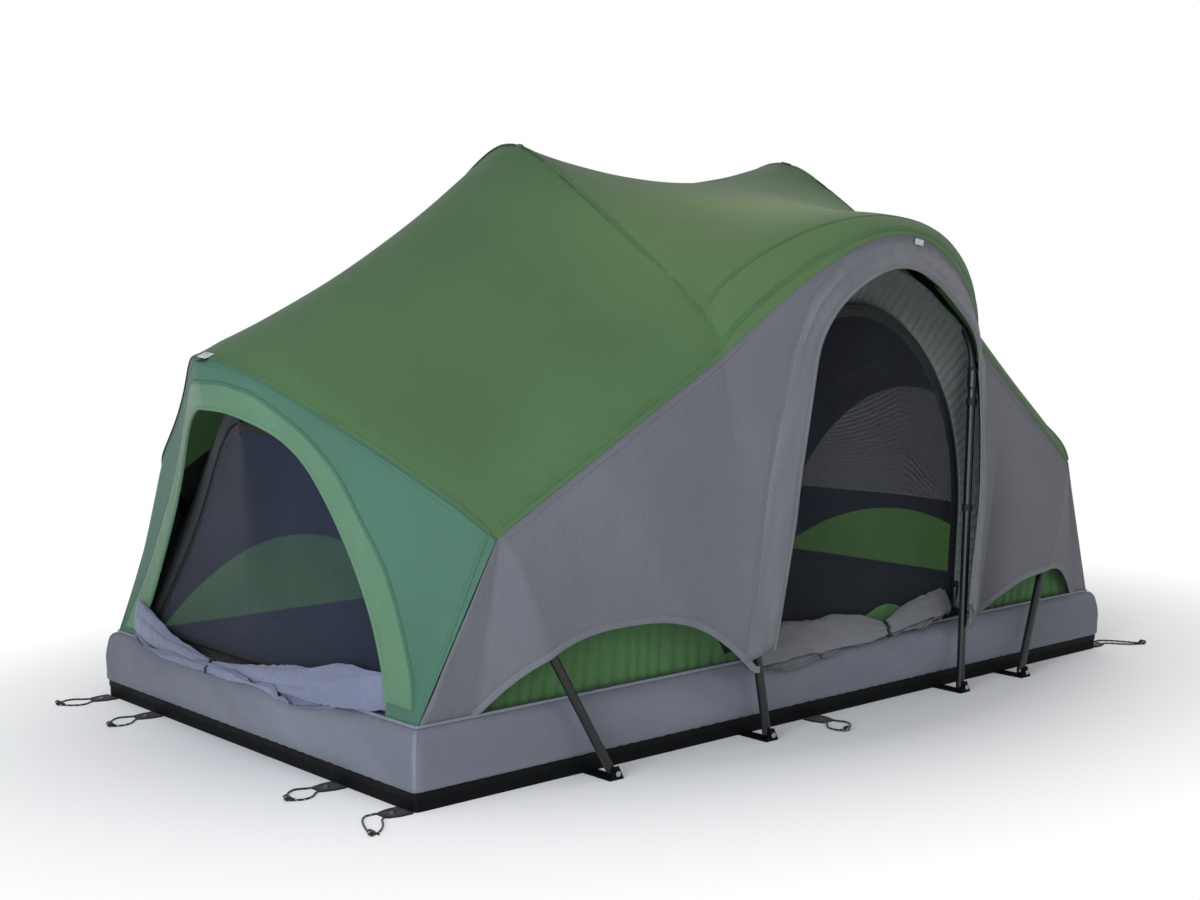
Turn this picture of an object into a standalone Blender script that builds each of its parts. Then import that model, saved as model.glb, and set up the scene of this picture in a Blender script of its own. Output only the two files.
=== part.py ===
"""Truck bed tent: a soft base, four pinned hoops, the fly, the inner tent and the tie-downs.

Metres, +Z up, +X along the length, the near door faces -Y. The origin is the bottom centre of the base.
"""

from math import atan2, cos, pi, sin, sqrt

import bmesh
import bpy
from mathutils import Matrix, Vector
from mathutils.bvhtree import BVHTree

# Base: a black tub, a grey band round the mattress, and the hem line that the cloth is sewn to
BASE_LENGTH = 2.130
BASE_WIDTH = 1.220
HALF_LENGTH = BASE_LENGTH / 2
HALF_WIDTH = BASE_WIDTH / 2
BASE_CORNER = 0.022
CORNER_STEPS = 3
TUB_HEIGHT = 0.035
TUB_INSET = 0.009
TUB_FLOOR = 0.003
HEM_HEIGHT = 0.146
HEM_INSET = 0.029
FLANGE_INSET = 0.056
BAND_WALL = 0.0025
BAND_SLOPE = 0.010
MATTRESS_TOP = 0.130
MATTRESS_INSET = 0.016
MATTRESS_ROUND = 0.022

# Cloth and clearances
CLOTH = 0.0015
SEAM_GAP = 0.0003
SEAM_DROP = 0.0034
HEM_LIFT = 0.0009
HOOP_CLEARANCE = 0.0026

# Hoop tubes, with a pin at each foot
TUBE_RADIUS = 0.0095
FERRULE_RADIUS = 0.0115
FERRULE_LENGTH = 0.050
SOCKET_DEPTH = 0.025
SOCKET_GAP = 0.0004
FOOT_Y = HALF_WIDTH + 0.054
PIVOT_HEIGHT = 0.0130
JOINT_BELOW_SHOULDER = 0.072
ELBOW_REACH = 0.046
END_BOW = (0.15, 0.09)
MAIN_BOW = (0.15, 0.105)
END_FOOT_X = 0.647
END_SHOULDER = (0.880, HALF_WIDTH - 0.003, 0.472)
END_PEAK = (1.055, 0.813)
RIGHT_END_SHOULDER = (0.885, HALF_WIDTH - 0.003, 0.480)
LEFT_MAIN_FOOT_X = 0.222
LEFT_MAIN_SHOULDER = (0.338, HALF_WIDTH + 0.030, 0.786)
LEFT_MAIN_PEAK = (0.358, 1.2225)
RIGHT_MAIN_FOOT_X = 0.416
RIGHT_MAIN_SHOULDER = (0.469, HALF_WIDTH + 0.035, 0.786)
RIGHT_MAIN_PEAK = (0.498, 1.2145)

# Foot tabs: a plate under the base, a lug turned up at its tip, and the pin through the lug
TAB_WIDTH = 0.034
TAB_THICKNESS = 0.0024
TAB_ROOT = 0.030
LUG_HEIGHT = 0.026
LUG_WIDTH = 0.020
LUG_CLEARANCE = 0.0040
PIN_RADIUS = 0.0030
PIN_HOLE_RADIUS = 0.0034
PIN_HEAD_RADIUS = 0.0052
PIN_HEAD = 0.0025
PIN_SLACK = 0.0015

# Roof of the fly
BRIM_REACH = 0.072
BRIM_DROP = 0.030
BRIM_ROUND = 0.30
BAY_SAG = 0.031
RIDGE_SAG = 0.073
BROW_REACH = 0.110
BROW_RISE = 0.240
BROW_ROLL = 0.085
BROW_ROUND = 0.90
BROW_ROD_RADIUS = 0.004
BROW_ROD_INSET = 0.012
BROW_ROD_SLACK = 0.0024
ROOF_STEPS = (0.0, 0.05, 0.12, 0.24, 0.42, 0.62, 0.78, 0.90, 0.965, 1.0)
BROW_STATIONS = (2.07, 2.16, 2.27, 2.39, 2.5, 2.61, 2.73, 2.84, 2.93)

# Sides of the fly: the door arch, and a lens at each end of it that lets the legs out
DOOR_CENTRE = 0.128
DOOR_LEAN = -0.045
DOOR_HALF = 0.331
DOOR_SPRING = 0.500
DOOR_TOP = 0.967
DOOR_FOOT_FLARE = 0.080
DOOR_FLARE_TOP = 0.215
LEFT_LENS = (-0.905, -0.270)
LEFT_LENS_RISE = 0.126
RIGHT_LENS = (0.590, 0.965)
RIGHT_LENS_RISE = 0.083
END_BULGE = 0.002
LEG_BULGE = 0.013
CORNER_SEAM = 0.0036

# Windows in both ends of the fly
WINDOW_HALF = 0.530
WINDOW_TOP = 0.684

# Inner tent, hung inside the hoops
INNER_HEM_INSET = 0.048
INNER_DROP = 0.050
INNER_SIDE = 0.062
INNER_CLOTH = 0.0012
INNER_END_TOP = 0.070
INNER_BROW_RISE = 0.140
INNER_DOOR_CENTRE = 0.112
INNER_DOOR_HALF = 0.390
INNER_DOOR_SPRING = 0.360
INNER_DOOR_TOP = 0.872
INNER_DOOR_SILL = 0.174
INNER_WINDOW_HALF = 0.470
INNER_WINDOW_TOP = 0.655
INNER_WINDOW_SILL = 0.165
ZIP_WIDTH = 0.0012

# Rolled flaps on the sills
DOOR_ROLL = ((0.0, 0.018, 0.018), (0.10, 0.030, 0.024), (0.40, 0.029, 0.022), (0.58, 0.022, 0.017),
             (0.68, 0.024, 0.026), (0.85, 0.027, 0.037), (1.0, 0.016, 0.030))
WINDOW_ROLL = ((0.0, 0.014, 0.032), (0.12, 0.020, 0.039), (0.35, 0.023, 0.026), (0.59, 0.019, 0.013),
               (0.68, 0.021, 0.018), (0.89, 0.021, 0.042), (1.0, 0.014, 0.032))

# Zip sliders
SLIDER_SIZE = (0.010, 0.007, 0.015)
SLIDER_GAP = 0.0006
PULL_LENGTH = 0.026
DOOR_SLIDER_HEIGHT = 0.225
DOOR_SLIDER_TRAVEL = 0.160
DOOR_SLIDER_EDGE = 0.012
WINDOW_SLIDER_RISE = 0.012

# Tie-downs: a plate hinged at the tub's lower edge, and a shock-cord loop through its two corners
TIE_WIDTH = 0.052
TIE_LENGTH = 0.054
TIE_TIP_WIDTH = 0.034
TIE_THICKNESS = 0.0026
TIE_GAP = 0.0005
TIE_RIVET_RADIUS = 0.0050
CORD_RADIUS = 0.0020
LOOP_REACH = 0.074
LOOP_HALF = 0.031
END_TIE_Y = HALF_WIDTH - 0.250
CORNER_TIE_Y = HALF_WIDTH - 0.036
MIDDLE_TIE_X = -0.020
TIE_LEANS = {"left_near_corner": 0.090, "left_near_end": 0.026, "left_far_end": 0.034,
             "left_far_corner": -0.008, "middle_near": -0.034, "right_near_corner": -0.090,
             "right_far_end": -0.016, "middle_far": 0.014, "right_far_corner": 0.022}

HEM_X = HALF_LENGTH - HEM_INSET
HEM_Y = HALF_WIDTH - HEM_INSET
HOOP_OFFSET = TUBE_RADIUS + CLOTH + HOOP_CLEARANCE

# Colours are linear; the pairs after them are roughness and metallic
LOOKS = {
    "roof": ((0.070, 0.130, 0.062), 0.75, 0.0),
    "end": ((0.085, 0.145, 0.110), 0.75, 0.0),
    "side": ((0.160, 0.160, 0.170), 0.80, 0.0),
    "band": ((0.125, 0.130, 0.150), 0.80, 0.0),
    "tub": ((0.013, 0.015, 0.016), 0.70, 0.0),
    "foam": ((0.020, 0.024, 0.030), 0.90, 0.0),
    "inner": ((0.020, 0.026, 0.024), 0.85, 0.0),
    "mesh": ((0.016, 0.019, 0.024), 0.90, 0.0),
    "flap": ((0.200, 0.205, 0.240), 0.80, 0.0),
    "tube": ((0.012, 0.013, 0.013), 0.35, 0.0),
    "plate": ((0.010, 0.010, 0.011), 0.50, 0.0),
    "cord": ((0.012, 0.012, 0.013), 0.90, 0.0),
    "slider": ((0.015, 0.015, 0.016), 0.40, 0.6),
}


def clear_scene():
    """Remove whatever the file holds."""
    for thing in list(bpy.data.objects):
        bpy.data.objects.remove(thing, do_unlink=True)


def make_collection(name):
    """A collection linked to the scene."""
    group = bpy.data.collections.new(name)
    bpy.context.scene.collection.children.link(group)
    return group


def make_material(name, look):
    """A Principled material of its own for one node."""
    colour, roughness, metallic = LOOKS[look]
    material = bpy.data.materials.new(name)
    material.use_nodes = True
    shader = material.node_tree.nodes["Principled BSDF"]
    shader.inputs["Base Color"].default_value = (*colour, 1.0)
    shader.inputs["Roughness"].default_value = roughness
    shader.inputs["Metallic"].default_value = metallic
    return material


def add_part(name, mesh, look):
    """Link a mesh as a named part with its material."""
    part = bpy.data.objects.new(name, mesh)
    PARTS.objects.link(part)
    part.data.materials.append(make_material(name, look))
    return part


def add_cutter(name, mesh):
    """Link a mesh as a hidden cutter."""
    cutter = bpy.data.objects.new(name, mesh)
    CUTTERS.objects.link(cutter)
    cutter.hide_render = True
    cutter.display_type = "WIRE"
    return cutter


def boolean(part, cutter, operation="DIFFERENCE"):
    """Add a Boolean modifier with the exact solver."""
    step = part.modifiers.new(cutter.name, "BOOLEAN")
    step.operation = operation
    step.solver = "EXACT"
    step.object = cutter


def mesh_from_bmesh(name, shape):
    """Turn a bmesh into a mesh and free it."""
    mesh = bpy.data.meshes.new(name)
    shape.to_mesh(mesh)
    shape.free()
    return mesh


def add_grid(shape, rows):
    """Add a sheet of quads between equal rows of points."""
    grid = [[shape.verts.new(point) for point in row] for row in rows]
    for lower, upper in zip(grid, grid[1:]):
        for near, far, far_up, near_up in zip(lower, lower[1:], upper[1:], upper):
            shape.faces.new((near, far, far_up, near_up))


def face_away_from(shape, inside):
    """Turn a sheet's normals away from a point inside the tent."""
    bmesh.ops.recalc_face_normals(shape, faces=shape.faces)
    shape.normal_update()
    flux = [(face.calc_center_median() - inside).dot(face.normal) * face.calc_area() for face in shape.faces]
    if sum(flux) < 0:
        bmesh.ops.reverse_faces(shape, faces=shape.faces)


def cloth_panel(name, grids, thickness, look):
    """Sew grids of points into one sheet, facing out of the tent, with its thickness inwards."""
    shape = bmesh.new()
    for rows in grids:
        add_grid(shape, rows)
    bmesh.ops.remove_doubles(shape, verts=shape.verts, dist=0.00005)
    face_away_from(shape, Vector((0.0, 0.0, HEM_HEIGHT * 2)))
    bmesh.ops.triangulate(shape, faces=shape.faces)
    part = add_part(name, mesh_from_bmesh(name, shape), look)
    wall = part.modifiers.new("cloth", "SOLIDIFY")
    wall.thickness = thickness
    wall.offset = -1.0
    wall.use_even_offset = True
    return part


def prism(name, outline, low, high, axis):
    """A cutter: an outline of two coordinates pushed out along the X or the Y axis."""
    shape = bmesh.new()
    points = []
    for across, up in outline:
        points.append((low, across, up) if axis == "X" else (across, low, up))
    face = shape.faces.new([shape.verts.new(point) for point in points])
    pushed = bmesh.ops.extrude_face_region(shape, geom=[face])
    corners = [item for item in pushed["geom"] if isinstance(item, bmesh.types.BMVert)]
    step = (high - low, 0, 0) if axis == "X" else (0, high - low, 0)
    bmesh.ops.translate(shape, verts=corners, vec=step)
    bmesh.ops.recalc_face_normals(shape, faces=shape.faces)
    return add_cutter(name, mesh_from_bmesh(name, shape))


def tube_along(name, points, radius, look, resolution=3):
    """A round bar along points, as a mesh with welded caps."""
    curve = bpy.data.curves.new(name, "CURVE")
    curve.dimensions = "3D"
    curve.bevel_depth = radius
    curve.bevel_resolution = resolution
    curve.use_fill_caps = True
    spline = curve.splines.new("POLY")
    spline.points.add(len(points) - 1)
    for slot, point in zip(spline.points, points):
        slot.co = (*point, 1.0)
    guide = bpy.data.objects.new(name + "_guide", curve)
    PARTS.objects.link(guide)
    bpy.context.view_layer.update()
    evaluated = guide.evaluated_get(bpy.context.evaluated_depsgraph_get())
    mesh = bpy.data.meshes.new_from_object(evaluated)
    bpy.data.objects.remove(guide, do_unlink=True)
    shape = bmesh.new()
    shape.from_mesh(mesh)
    bmesh.ops.remove_doubles(shape, verts=shape.verts, dist=0.00001)
    bmesh.ops.recalc_face_normals(shape, faces=shape.faces)
    return add_part(name, mesh_from_bmesh(name, shape), look)


def rounded_rectangle(half_x, half_y, corner, steps):
    """Corner points of a rounded rectangle, anticlockwise."""
    points = []
    for quarter in range(4):
        turn = quarter * pi / 2
        centre_x = (half_x - corner) * (1 if quarter in (0, 3) else -1)
        centre_y = (half_y - corner) * (1 if quarter in (0, 1) else -1)
        for step in range(steps + 1):
            angle = turn + step / steps * pi / 2
            points.append((centre_x + corner * cos(angle), centre_y + corner * sin(angle)))
    return points


def base_outline(inset):
    """The base's rounded outline, moved in by an inset."""
    corner = max(BASE_CORNER - inset, 0.006)
    return rounded_rectangle(HALF_LENGTH - inset, HALF_WIDTH - inset, corner, CORNER_STEPS)


def stacked_rings(profile):
    """Rings of the base outline, one for each (inset, height)."""
    rings = []
    for inset, height in profile:
        ring = [(x, y, height) for x, y in base_outline(inset)]
        rings.append(ring + ring[:1])
    return rings


def closed_block(name, profile, look):
    """A solid of stacked base outlines, with flat ends."""
    shape = bmesh.new()
    add_grid(shape, stacked_rings(profile))
    bmesh.ops.remove_doubles(shape, verts=shape.verts, dist=0.00005)
    edges = [edge for edge in shape.edges if edge.is_boundary]
    bmesh.ops.holes_fill(shape, edges=edges)
    bmesh.ops.recalc_face_normals(shape, faces=shape.faces)
    return add_part(name, mesh_from_bmesh(name, shape), look)


def box_mesh(name, centre, size):
    """A box from a cube primitive."""
    shape = bmesh.new()
    place = Matrix.Translation(centre) @ Matrix.Diagonal((*size, 1.0))
    bmesh.ops.create_cube(shape, size=1.0, matrix=place)
    return mesh_from_bmesh(name, shape)


def cylinder_mesh(name, start, end, radius, sides=12):
    """A round bar between two points, from a cone primitive."""
    start, end = Vector(start), Vector(end)
    along = end - start
    place = Matrix.Translation((start + end) / 2) @ along.to_track_quat("Z", "Y").to_matrix().to_4x4()
    shape = bmesh.new()
    bmesh.ops.create_cone(shape, cap_ends=True, segments=sides, radius1=radius, radius2=radius,
                          depth=along.length, matrix=place)
    return mesh_from_bmesh(name, shape)


def peak_share(share, rounding):
    """Height of a line that falls from a rounded peak at 0 to nothing at -1 and 1."""
    fall = sqrt(share * share + rounding * rounding) - rounding
    return 1 - fall / (sqrt(1 + rounding * rounding) - rounding)


def bow_fullness(across):
    """How a bow swells above its line, most just inside the shoulders."""
    width = abs(across)
    return width ** 1.3 * (1 - width ** 20)


class Hoop:
    """One bent tube: two legs from the pins to the shoulders, and the bow over the ridge."""

    def __init__(self, name, side, foot_x, shoulder, peak, bow):
        self.name = name
        self.side = side
        self.rounding, self.fullness = bow
        self.foot_x = side * foot_x
        self.shoulder = Vector((side * shoulder[0], shoulder[1], shoulder[2]))
        self.peak_x = side * peak[0]
        self.peak_z = peak[1]

    def foot(self, sign):
        """Centre of the pin, on the near side for -1 and the far side for 1."""
        return Vector((self.foot_x, sign * FOOT_Y, PIVOT_HEIGHT))

    def shoulder_point(self, sign):
        """Where the leg's line meets the rafter's line."""
        return Vector((self.shoulder.x, sign * self.shoulder.y, self.shoulder.z))

    def rafter(self, across):
        """Centre line of the bow, from -1 at the near shoulder to 1 at the far one."""
        rise = peak_share(across, self.rounding) + self.fullness * bow_fullness(across)
        x = self.shoulder.x + (self.peak_x - self.shoulder.x) * rise
        z = self.shoulder.z + (self.peak_z - self.shoulder.z) * rise
        return Vector((x, across * self.shoulder.y, z))

    def outward(self, across):
        """The way out of the hoop, square to the bow and in its plane."""
        step = 0.01
        tangent = (self.rafter(min(across + step, 1.0)) - self.rafter(max(across - step, -1.0))).normalized()
        up = Vector((self.peak_x - self.shoulder.x, 0.0, self.peak_z - self.shoulder.z))
        return (up - up.dot(tangent) * tangent).normalized()

    def cloth_over(self, across):
        """The fly's outer face over the bow, mitred at the shoulders."""
        if abs(across) < 1.0:
            return self.rafter(across) + self.outward(across) * HOOP_OFFSET
        shoulder = self.shoulder_point(across)
        down = (self.foot(across) - shoulder).normalized()
        up = (self.rafter(across * 0.9) - shoulder).normalized()
        half_angle = down.angle(up) / 2
        return shoulder - (down + up).normalized() * HOOP_OFFSET / sin(half_angle)

    def leg_at(self, sign, height):
        """Centre of the leg at a height."""
        low, high = self.foot(sign), self.shoulder_point(sign)
        return low.lerp(high, (height - low.z) / (high.z - low.z))


LEFT_END = Hoop("left_end", -1, END_FOOT_X, END_SHOULDER, END_PEAK, END_BOW)
LEFT_MAIN = Hoop("left_main", -1, LEFT_MAIN_FOOT_X, LEFT_MAIN_SHOULDER, LEFT_MAIN_PEAK, MAIN_BOW)
RIGHT_MAIN = Hoop("right_main", 1, RIGHT_MAIN_FOOT_X, RIGHT_MAIN_SHOULDER, RIGHT_MAIN_PEAK, MAIN_BOW)
RIGHT_END = Hoop("right_end", 1, END_FOOT_X, RIGHT_END_SHOULDER, END_PEAK, END_BOW)
HOOPS = (LEFT_END, LEFT_MAIN, RIGHT_MAIN, RIGHT_END)


def brim_point(hoop, across):
    """Edge of the roof past an end hoop: deepest at the peak, nothing at the shoulders."""
    reach = BRIM_REACH * (0.83 * peak_share(across, 0.04) ** 3 + 0.17 * (1 - across ** 20))
    drop = BRIM_DROP * peak_share(across, BRIM_ROUND)
    return hoop.cloth_over(across) + Vector((hoop.side * reach, 0.0, -drop))


def roof_point(station, across):
    """Outer face of the roof.

    Stations run from the left brim (0) over the four hoops (1 to 4) to the right brim (5).
    """
    if station <= 1:
        return brim_point(LEFT_END, across).lerp(LEFT_END.cloth_over(across), station)
    if station >= 4:
        return RIGHT_END.cloth_over(across).lerp(brim_point(RIGHT_END, across), station - 4)
    start, end = HOOPS[int(station) - 1], HOOPS[min(int(station), 3)]
    share = station - int(station)
    if station == 2 or station == 3:
        return start.cloth_over(across)
    point = start.cloth_over(across).lerp(end.cloth_over(across), share)
    if 2 < station < 3:
        return point + brow_shift(share, across) + brow_crest(share, across)
    point.z -= BAY_SAG * 4 * share * (1 - share) * (1 - across * across)
    return point


def brow_shift(share, across):
    """How the brow lifts the roof's edge over a door, and how the ridge hangs between the hoops."""
    arch = peak_share(2 * share - 1, BROW_ROUND)
    if share > 0.5:
        arch = arch ** 0.8
    width = abs(across)
    out = (1 if across > 0 else -1) * BROW_REACH * width ** 1.3
    sag = RIDGE_SAG * (1 - width) ** 2 * 4 * share * (1 - share)
    flat = MAIN_BOW[1] * bow_fullness(across) * (LEFT_MAIN.peak_z - LEFT_MAIN.shoulder.z) * arch
    return Vector((0.0, out * arch, BROW_RISE * width ** 1.5 * arch - sag - flat))


def brow_crest(share, across):
    """The roof stands proud of its edge just behind the brow, square to the arch."""
    step = 0.02
    before, after = (brow_shift(min(max(share + turn, 0.0), 1.0), 1.0) for turn in (-step, step))
    span = RIGHT_MAIN.shoulder.x - LEFT_MAIN.shoulder.x
    slope = (after.z - before.z) / (span * 2 * step)
    square = Vector((-slope, 0.0, 1.0)).normalized()
    width = abs(across)
    arch = peak_share(2 * share - 1, BROW_ROUND)
    return square * BROW_ROLL * (width ** 4 - width ** 24) / 0.58 * sqrt(arch) * (1.3 - arch)


def roof_rows():
    """Rows of points across the roof, closest together at the hoops and the brow."""
    across = [-step for step in reversed(ROOF_STEPS)] + list(ROOF_STEPS[1:])
    stations = [0, 0.5, 1, 1.3, 1.65, 2, *BROW_STATIONS, 3, 3.35, 3.7, 4, 4.5, 5]
    return [[roof_point(station, step) for step in across] for station in stations]


def lens_height(x):
    """Height of the side's lower edge: the hem, raised to an arch over each lens."""
    rise = 0.0
    for (start, end), height in ((LEFT_LENS, LEFT_LENS_RISE), (RIGHT_LENS, RIGHT_LENS_RISE)):
        place = (x - (start + end) / 2) / ((end - start) / 2)
        rise = max(rise, height * (1 - place * place))
    return HEM_HEIGHT + HEM_LIFT + rise


def side_columns():
    """The side's columns: where each starts on the hem, how far it stands out, and its roof station.

    A share of 0 is on the hem line and 1 is over the legs. Each leg lies behind a pair of columns.
    """
    pocket = 0.018
    left_leg = LEFT_END.leg_at(1, 0.235).x
    left_main = LEFT_MAIN.leg_at(1, 0.220).x
    right_main = RIGHT_MAIN.leg_at(1, 0.220).x
    right_leg = RIGHT_END.leg_at(1, 0.205).x
    corner = HEM_X - CORNER_SEAM
    return (
        (-corner, 0.0, 1.006),
        (-0.965, 0.0, 1.010),
        (LEFT_LENS[0], 0.02, 1.014),
        (-0.845, 0.45, 1.019),
        (left_leg - pocket, 1.0, 1.026),
        (left_leg + pocket, 1.0, 1.05),
        (-0.660, 1.0, 1.22),
        (-0.560, 1.0, 1.42),
        (-0.450, 1.0, 1.62),
        (-0.340, 0.95, 1.82),
        (left_main - pocket * 1.4, 1.0, 1.95),
        (left_main, 1.08, 2.0),
        (left_main + 0.045, 1.08, BROW_STATIONS[0]),
        (-0.130, 1.02, BROW_STATIONS[1]),
        (-0.050, 1.0, BROW_STATIONS[2]),
        (0.030, 1.0, BROW_STATIONS[3]),
        (0.100, 1.0, BROW_STATIONS[4]),
        (0.170, 1.0, BROW_STATIONS[5]),
        (0.240, 1.0, BROW_STATIONS[6]),
        (0.310, 1.02, BROW_STATIONS[7]),
        (0.370, 1.08, BROW_STATIONS[8]),
        (right_main, 1.08, 3.0),
        (right_main + 0.040, 0.85, 3.06),
        (0.530, 0.40, 3.18),
        (RIGHT_LENS[0], 0.02, 3.30),
        (0.645, 0.55, 3.55),
        (right_leg - pocket, 1.0, 3.90),
        (right_leg + pocket, 1.0, 3.97),
        (0.845, 0.62, 3.978),
        (0.905, 0.30, 3.982),
        (RIGHT_LENS[1], 0.02, 3.986),
        (corner, 0.0, 3.990),
    )


def leg_line(x, height):
    """How far out the cloth stands where it covers the legs, between the hoops."""
    lines = [(hoop.leg_at(1, height).x, hoop.leg_at(1, height).y) for hoop in HOOPS]
    if x <= lines[0][0]:
        return lines[0][1]
    for (start, low), (end, high) in zip(lines, lines[1:]):
        if x <= end:
            return low + (high - low) * (x - start) / (end - start)
    return lines[-1][1]


def side_rows(sign):
    """Rows of the side from its lower edge to the eave, near for -1 and far for 1."""
    columns = []
    for x, out, station in side_columns():
        height = lens_height(x)
        y = HEM_Y + (leg_line(x, height) + HOOP_OFFSET - HEM_Y) * out
        low = Vector((x, sign * y, height))
        high = roof_point(station, sign * 1.0)
        drop = (low - high).normalized() * SEAM_DROP
        nudge = Vector((0.0, -sign * SEAM_GAP, 0.0))
        bulge = Vector((0.0, sign * LEG_BULGE * min(out, 1.0), 0.0))
        column = []
        for share in (0, 0.13, 0.3, 0.48, 0.66, 0.84, 1):
            column.append(low.lerp(high + drop + nudge, share) + bulge * 4 * share * (1 - share))
        columns.append(column)
    return [list(row) for row in zip(*columns)]


def door_outline(centre, lean, half, spring, top, sill, shrink=0.0, flare=0.0, flare_top=0.0):
    """An arched doorway as (x, z) points: straight sides to the spring, then half an ellipse."""
    half -= shrink
    top -= shrink
    points = [(centre - half - flare, sill), (centre + half, sill)]
    if flare:
        points += [(centre + half, flare_top)]
    steps = 18
    for step in range(steps + 1):
        angle = pi * step / steps
        height = sin(angle)
        points.append((centre + lean * height + half * cos(angle), spring + (top - spring) * height))
    if flare:
        points += [(centre - half, flare_top + 0.030), (centre - half - flare, flare_top)]
    return points


def window_outline(half, top, sill, shrink=0.0):
    """A window arch as (y, z) points on the sill, fuller toward the near side."""
    half -= shrink
    top -= shrink
    steps = 16
    points = []
    for step in range(steps + 1):
        share = sin(-pi / 2 + pi * step / steps)
        power = 2.5 if share > 0 else 2.0
        points.append((-share * half, sill + (top - sill) * (1 - abs(share) ** power)))
    return points


def make_base():
    """Tub with its foot tabs, grey band and mattress."""
    outside = ((TUB_INSET + 0.0015, 0.0), (TUB_INSET, 0.002), (TUB_INSET, TUB_HEIGHT))
    tub = closed_block("floor_tub", outside, "tub")
    hollow_profile = ((TUB_INSET + 0.003, TUB_FLOOR), (TUB_INSET + 0.003, TUB_HEIGHT * 2))
    hollow = closed_block("tub_hollow", hollow_profile, "tub")
    PARTS.objects.unlink(hollow)
    CUTTERS.objects.link(hollow)
    hollow.hide_render = True
    hollow.display_type = "WIRE"
    boolean(tub, hollow)
    for hoop in HOOPS:
        for sign in (-1, 1):
            add_foot_tab(tub, hoop, sign)

    low = TUB_HEIGHT + SEAM_GAP
    outside = [(TUB_INSET - 0.001, low), (0.003, low + 0.006), (0.0, low + 0.024), (0.0, HEM_HEIGHT - 0.046)]
    outside += [(0.004, HEM_HEIGHT - 0.022), (0.012, HEM_HEIGHT - BAND_SLOPE)]
    outside += [(HEM_INSET - 0.004, HEM_HEIGHT), (FLANGE_INSET, HEM_HEIGHT)]
    shape = bmesh.new()
    add_grid(shape, stacked_rings(outside))
    bmesh.ops.remove_doubles(shape, verts=shape.verts, dist=0.00005)
    face_away_from(shape, Vector((0.0, 0.0, TUB_HEIGHT)))
    band = add_part("base_band", mesh_from_bmesh("base_band", shape), "band")
    wall = band.modifiers.new("wall", "SOLIDIFY")
    wall.thickness = BAND_WALL
    wall.offset = -1.0
    wall.use_even_offset = True

    edge, top = MATTRESS_INSET, MATTRESS_TOP
    foot = TUB_FLOOR + SEAM_GAP
    turn = MATTRESS_ROUND
    sides = [(edge + turn * 0.6, foot), (edge + turn * 0.15, foot + turn * 0.45)]
    sides += [(edge, foot + turn), (edge, top - turn)]
    sides += [(edge + turn * 0.3, top - turn * 0.3), (edge + turn, top)]
    closed_block("mattress", sides, "foam")


def add_foot_tab(tub, hoop, sign):
    """Join one foot tab to the tub: a plate under the base and a lug turned up beyond the leg."""
    foot = hoop.foot(sign)
    lug_y = FOOT_Y + TUBE_RADIUS + LUG_CLEARANCE
    start = HALF_WIDTH - TAB_ROOT
    name = f"{hoop.name}_{'near' if sign < 0 else 'far'}_tab"
    centre = (foot.x, sign * (start + lug_y) / 2, TAB_THICKNESS / 2)
    plate = add_cutter(name, box_mesh(name, centre, (TAB_WIDTH, lug_y - start, TAB_THICKNESS)))
    boolean(tub, plate, "UNION")
    outline = [(foot.x - TAB_WIDTH / 2, 0.0), (foot.x + TAB_WIDTH / 2, 0.0)]
    outline += [(foot.x + TAB_WIDTH / 2, TAB_THICKNESS), (foot.x + LUG_WIDTH / 2, LUG_HEIGHT * 0.62)]
    outline += [(foot.x + LUG_WIDTH / 4, LUG_HEIGHT), (foot.x - LUG_WIDTH / 4, LUG_HEIGHT)]
    outline += [(foot.x - LUG_WIDTH / 2, LUG_HEIGHT * 0.62), (foot.x - TAB_WIDTH / 2, TAB_THICKNESS)]
    lug = prism(name + "_lug", outline, sign * (lug_y - 0.0001), sign * (lug_y + TAB_THICKNESS), "Y")
    boolean(tub, lug, "UNION")
    reach = ((foot.x, sign * (lug_y - 0.01), foot.z), (foot.x, sign * (lug_y + 0.01), foot.z))
    hole = add_cutter(name + "_hole", cylinder_mesh(name + "_hole", *reach, PIN_HOLE_RADIUS))
    boolean(tub, hole)


def leg_profile(length):
    """Half section of a leg along its axis: rounded foot, tube, ferrule and socket."""
    points = [(0.0, -TUBE_RADIUS)]
    for step in (1, 2, 3):
        angle = step * pi / 6
        points.append((TUBE_RADIUS * sin(angle), -TUBE_RADIUS * cos(angle)))
    ferrule = length - FERRULE_LENGTH
    socket = TUBE_RADIUS + SOCKET_GAP
    points += [(TUBE_RADIUS, ferrule), (FERRULE_RADIUS, ferrule + 0.004), (FERRULE_RADIUS, length)]
    points += [(socket, length), (socket, length - SOCKET_DEPTH), (0.0, length - SOCKET_DEPTH)]
    return points


def turned(name, profile, look, steps=12):
    """A solid turned round Z by a Screw modifier; the profile runs down its outer side."""
    mesh = bpy.data.meshes.new(name)
    points = [(radius, 0.0, height) for radius, height in reversed(profile)]
    mesh.from_pydata(points, [(i, i + 1) for i in range(len(points) - 1)], [])
    part = add_part(name, mesh, look)
    screw = part.modifiers.new("turn", "SCREW")
    screw.steps = steps
    screw.render_steps = steps
    screw.use_merge_vertices = True
    screw.merge_threshold = 0.00001
    return part


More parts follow.
